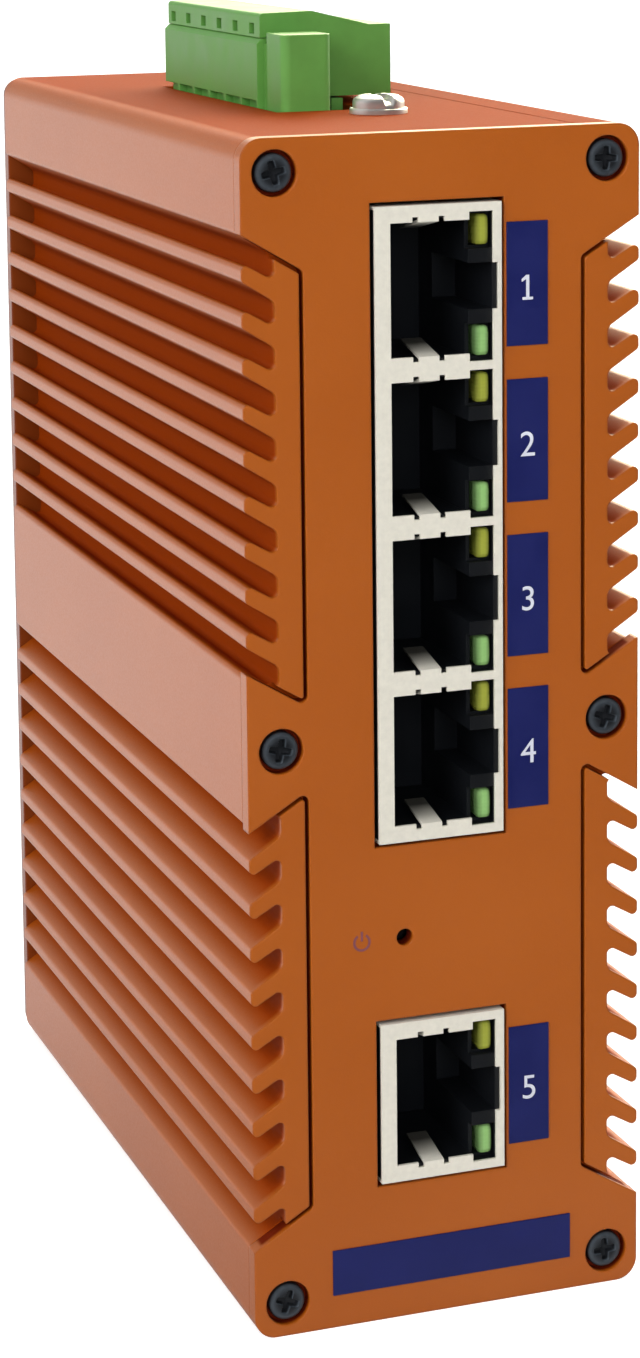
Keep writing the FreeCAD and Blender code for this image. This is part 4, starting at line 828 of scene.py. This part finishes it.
# %% A pale cove
WORLD_GREY = 0.22           # how strongly the world lights the object
FLOOR_GLOW = 0.66           # what the cove adds for the camera
SIDE_WHITE = 1.3            # level in mirrors at the sides and behind
FRONT_WHITE = 0.05          # and in front
NEAR_SHARE = 0.7            # share of that level on the floor close to the object
HIGH_LEFT = 0.45            # and in the room's upper part on the left
HIGH_RIGHT = 1.5            # and on the right
HIGH_BEHIND = 8.0           # and in the reflector, at the top on the right
WARM_WHITE = (1, 0.93, 0.66, 1)


def mirror_level(tree):
    """Level and colour of the room in a mirror: white at the sides, dim in front and close by, and a
    bright warm reflector high up on the right, which the top face shows as a pale sheen."""
    place = add(tree, "ShaderNodeNewGeometry").outputs["Position"]
    away = add(tree, "ShaderNodeVectorMath", {"operation": "LENGTH"}, i0=place).outputs["Value"]
    across, along, up = (axis_of(tree, place, axis) for axis in "XYZ")
    side = ramp(tree, along, -0.1, 0.05, FRONT_WHITE, SIDE_WHITE)
    near = ramp(tree, away, 0.03, 0.18, NEAR_SHARE, 1.0)
    left = ramp(tree, across, -0.1, 0.4, HIGH_LEFT, HIGH_RIGHT)
    behind = ramp(tree, across, -0.1, 0.4, 1.0, HIGH_BEHIND)
    high = product(tree, ramp(tree, up, 0.04, 0.22, 1.0, left), ramp(tree, up, 0.5, 0.8, 1.0, behind))
    level = product(tree, product(tree, side, near), high)
    warm = product(tree, ramp(tree, up, 0.04, 0.22), ramp(tree, across, -0.1, 0.4))
    return level, blend_colours(tree, warm, (1, 1, 1, 1), WARM_WHITE)


def seen_in_mirror(tree):
    """1 for rays that come off a glossy or through a clear surface, else 0."""
    path = add(tree, "ShaderNodeLightPath")
    glossy, through = path.outputs["Is Glossy Ray"], path.outputs["Is Transmission Ray"]
    return path, arithmetic(tree, "MAXIMUM", glossy, through)


def cove_paint():
    """Pale paint: bright white to the camera with the object's shadow kept; in mirrors it has the
    room's levels."""
    material, tree, shader = new_material("cove_paint")
    shader.inputs["Base Color"].default_value = (0.72, 0.72, 0.72, 1)
    shader.inputs["Roughness"].default_value = 0.9
    path, mirrored = seen_in_mirror(tree)
    glow = add(tree, "ShaderNodeEmission", Color=(1, 1, 1, 1), Strength=FLOOR_GLOW)
    lit = add(tree, "ShaderNodeAddShader", i0=shader.outputs[0], i1=glow.outputs[0])
    viewed = add(tree, "ShaderNodeMixShader", i0=path.outputs["Is Camera Ray"],
                 i1=shader.outputs[0], i2=lit.outputs[0])
    level, tint = mirror_level(tree)
    bright = add(tree, "ShaderNodeEmission", Color=tint, Strength=level)
    mixed = add(tree, "ShaderNodeMixShader", i0=mirrored, i1=viewed.outputs[0], i2=bright.outputs[0])
    tree.links.new(mixed.outputs[0], tree.nodes["Material Output"].inputs["Surface"])
    return material


def sweep_surface(profile, half_width):
    """Carries a side profile (rows of y, z) straight along x; returns points and quads."""
    count = len(profile)
    left = np.column_stack([np.full(count, -half_width), profile])
    right = np.column_stack([np.full(count, half_width), profile])
    i = np.arange(count - 1)
    quads = np.column_stack([i, i + count, i + count + 1, i + 1])
    return np.vstack([left, right]), [quads]


COVE_BACK = 0.9
COVE_RADIUS = 0.35
COVE_HALF_WIDTH = 5.0
COVE_TOP = 3.0
arc = np.linspace(-math.pi / 2, 0, 24)
profile = np.vstack([
    [[-COVE_HALF_WIDTH, 0.0]],
    np.column_stack([COVE_BACK + COVE_RADIUS * np.cos(arc), COVE_RADIUS + COVE_RADIUS * np.sin(arc)]),
    [[COVE_BACK + COVE_RADIUS, COVE_TOP]],
])
cove = mesh_object("cove", *sweep_surface(profile, COVE_HALF_WIDTH))
cove.data.materials.append(cove_paint())
print("cove reaches back to", COVE_BACK + COVE_RADIUS)


# %% [markdown]
# Beyond the cove lies the world. It gives a soft grey fill from all sides, is white to the camera, and
# in mirrors goes on with the cove's levels: dark in front, dimmer high up.

# %% The world round it
world = bpy.data.worlds.new("room")
bpy.context.scene.world = world
world.use_nodes = True
tree = world.node_tree
room = tree.nodes["Background"]
room.inputs["Color"].default_value = (1, 1, 1, 1)
path, mirrored = seen_in_mirror(tree)
ahead = add(tree, "ShaderNodeTexCoord").outputs["Generated"]
mirror = product(tree, ramp(tree, axis_of(tree, ahead, "Y"), -0.4, 0.1, FRONT_WHITE, SIDE_WHITE),
                 ramp(tree, axis_of(tree, ahead, "Z"), 0.0, 0.25, 1.0, HIGH_LEFT))
for_mirrors = add(tree, "ShaderNodeMix", i0=mirrored, i2=WORLD_GREY, i3=mirror)
level = add(tree, "ShaderNodeMix", i0=path.outputs["Is Camera Ray"], i2=for_mirrors.outputs[0], i3=1.0)
tree.links.new(level.outputs[0], room.inputs["Strength"])
print("world set")


# %% [markdown]
# Five soft panels stand left, above, in front, right and behind. They give colour and shade only: none
# of them is seen in mirrors, because the cove's own levels make the gloss.

# %% Soft panels
MIDDLE = (0.0, 0.0, HEIGHT / 2)


def soft_panel(name, place, size, power):
    """A square area lamp that faces the object's middle."""
    data = bpy.data.lights.new(name, "AREA")
    data.size = size
    data.energy = power
    lamp = bpy.data.objects.new(name, data)
    bpy.context.scene.collection.objects.link(lamp)
    aim = Vector(MIDDLE) - Vector(place)
    lamp.matrix_world = Matrix.Translation(place) @ aim.to_track_quat("-Z", "Y").to_matrix().to_4x4()
    lamp.visible_camera = False
    lamp.visible_glossy = False
    return lamp


soft_panel("left_panel", (-0.85, -0.45, 0.5), 0.6, 7.5)
soft_panel("top_panel", (0.0, 0.1, 1.0), 0.6, 1.3)
soft_panel("front_panel", (-0.2, -1.0, 0.35), 0.5, 3.9)
soft_panel("right_panel", (0.95, 0.0, 0.5), 0.5, 5.0)
soft_panel("back_panel", (0.3, 1.0, 0.6), 0.5, 4.0)
print("panels:", len(bpy.data.lights))


# %% [markdown]
# ## End

# %% End of the scene
print("scene ready")
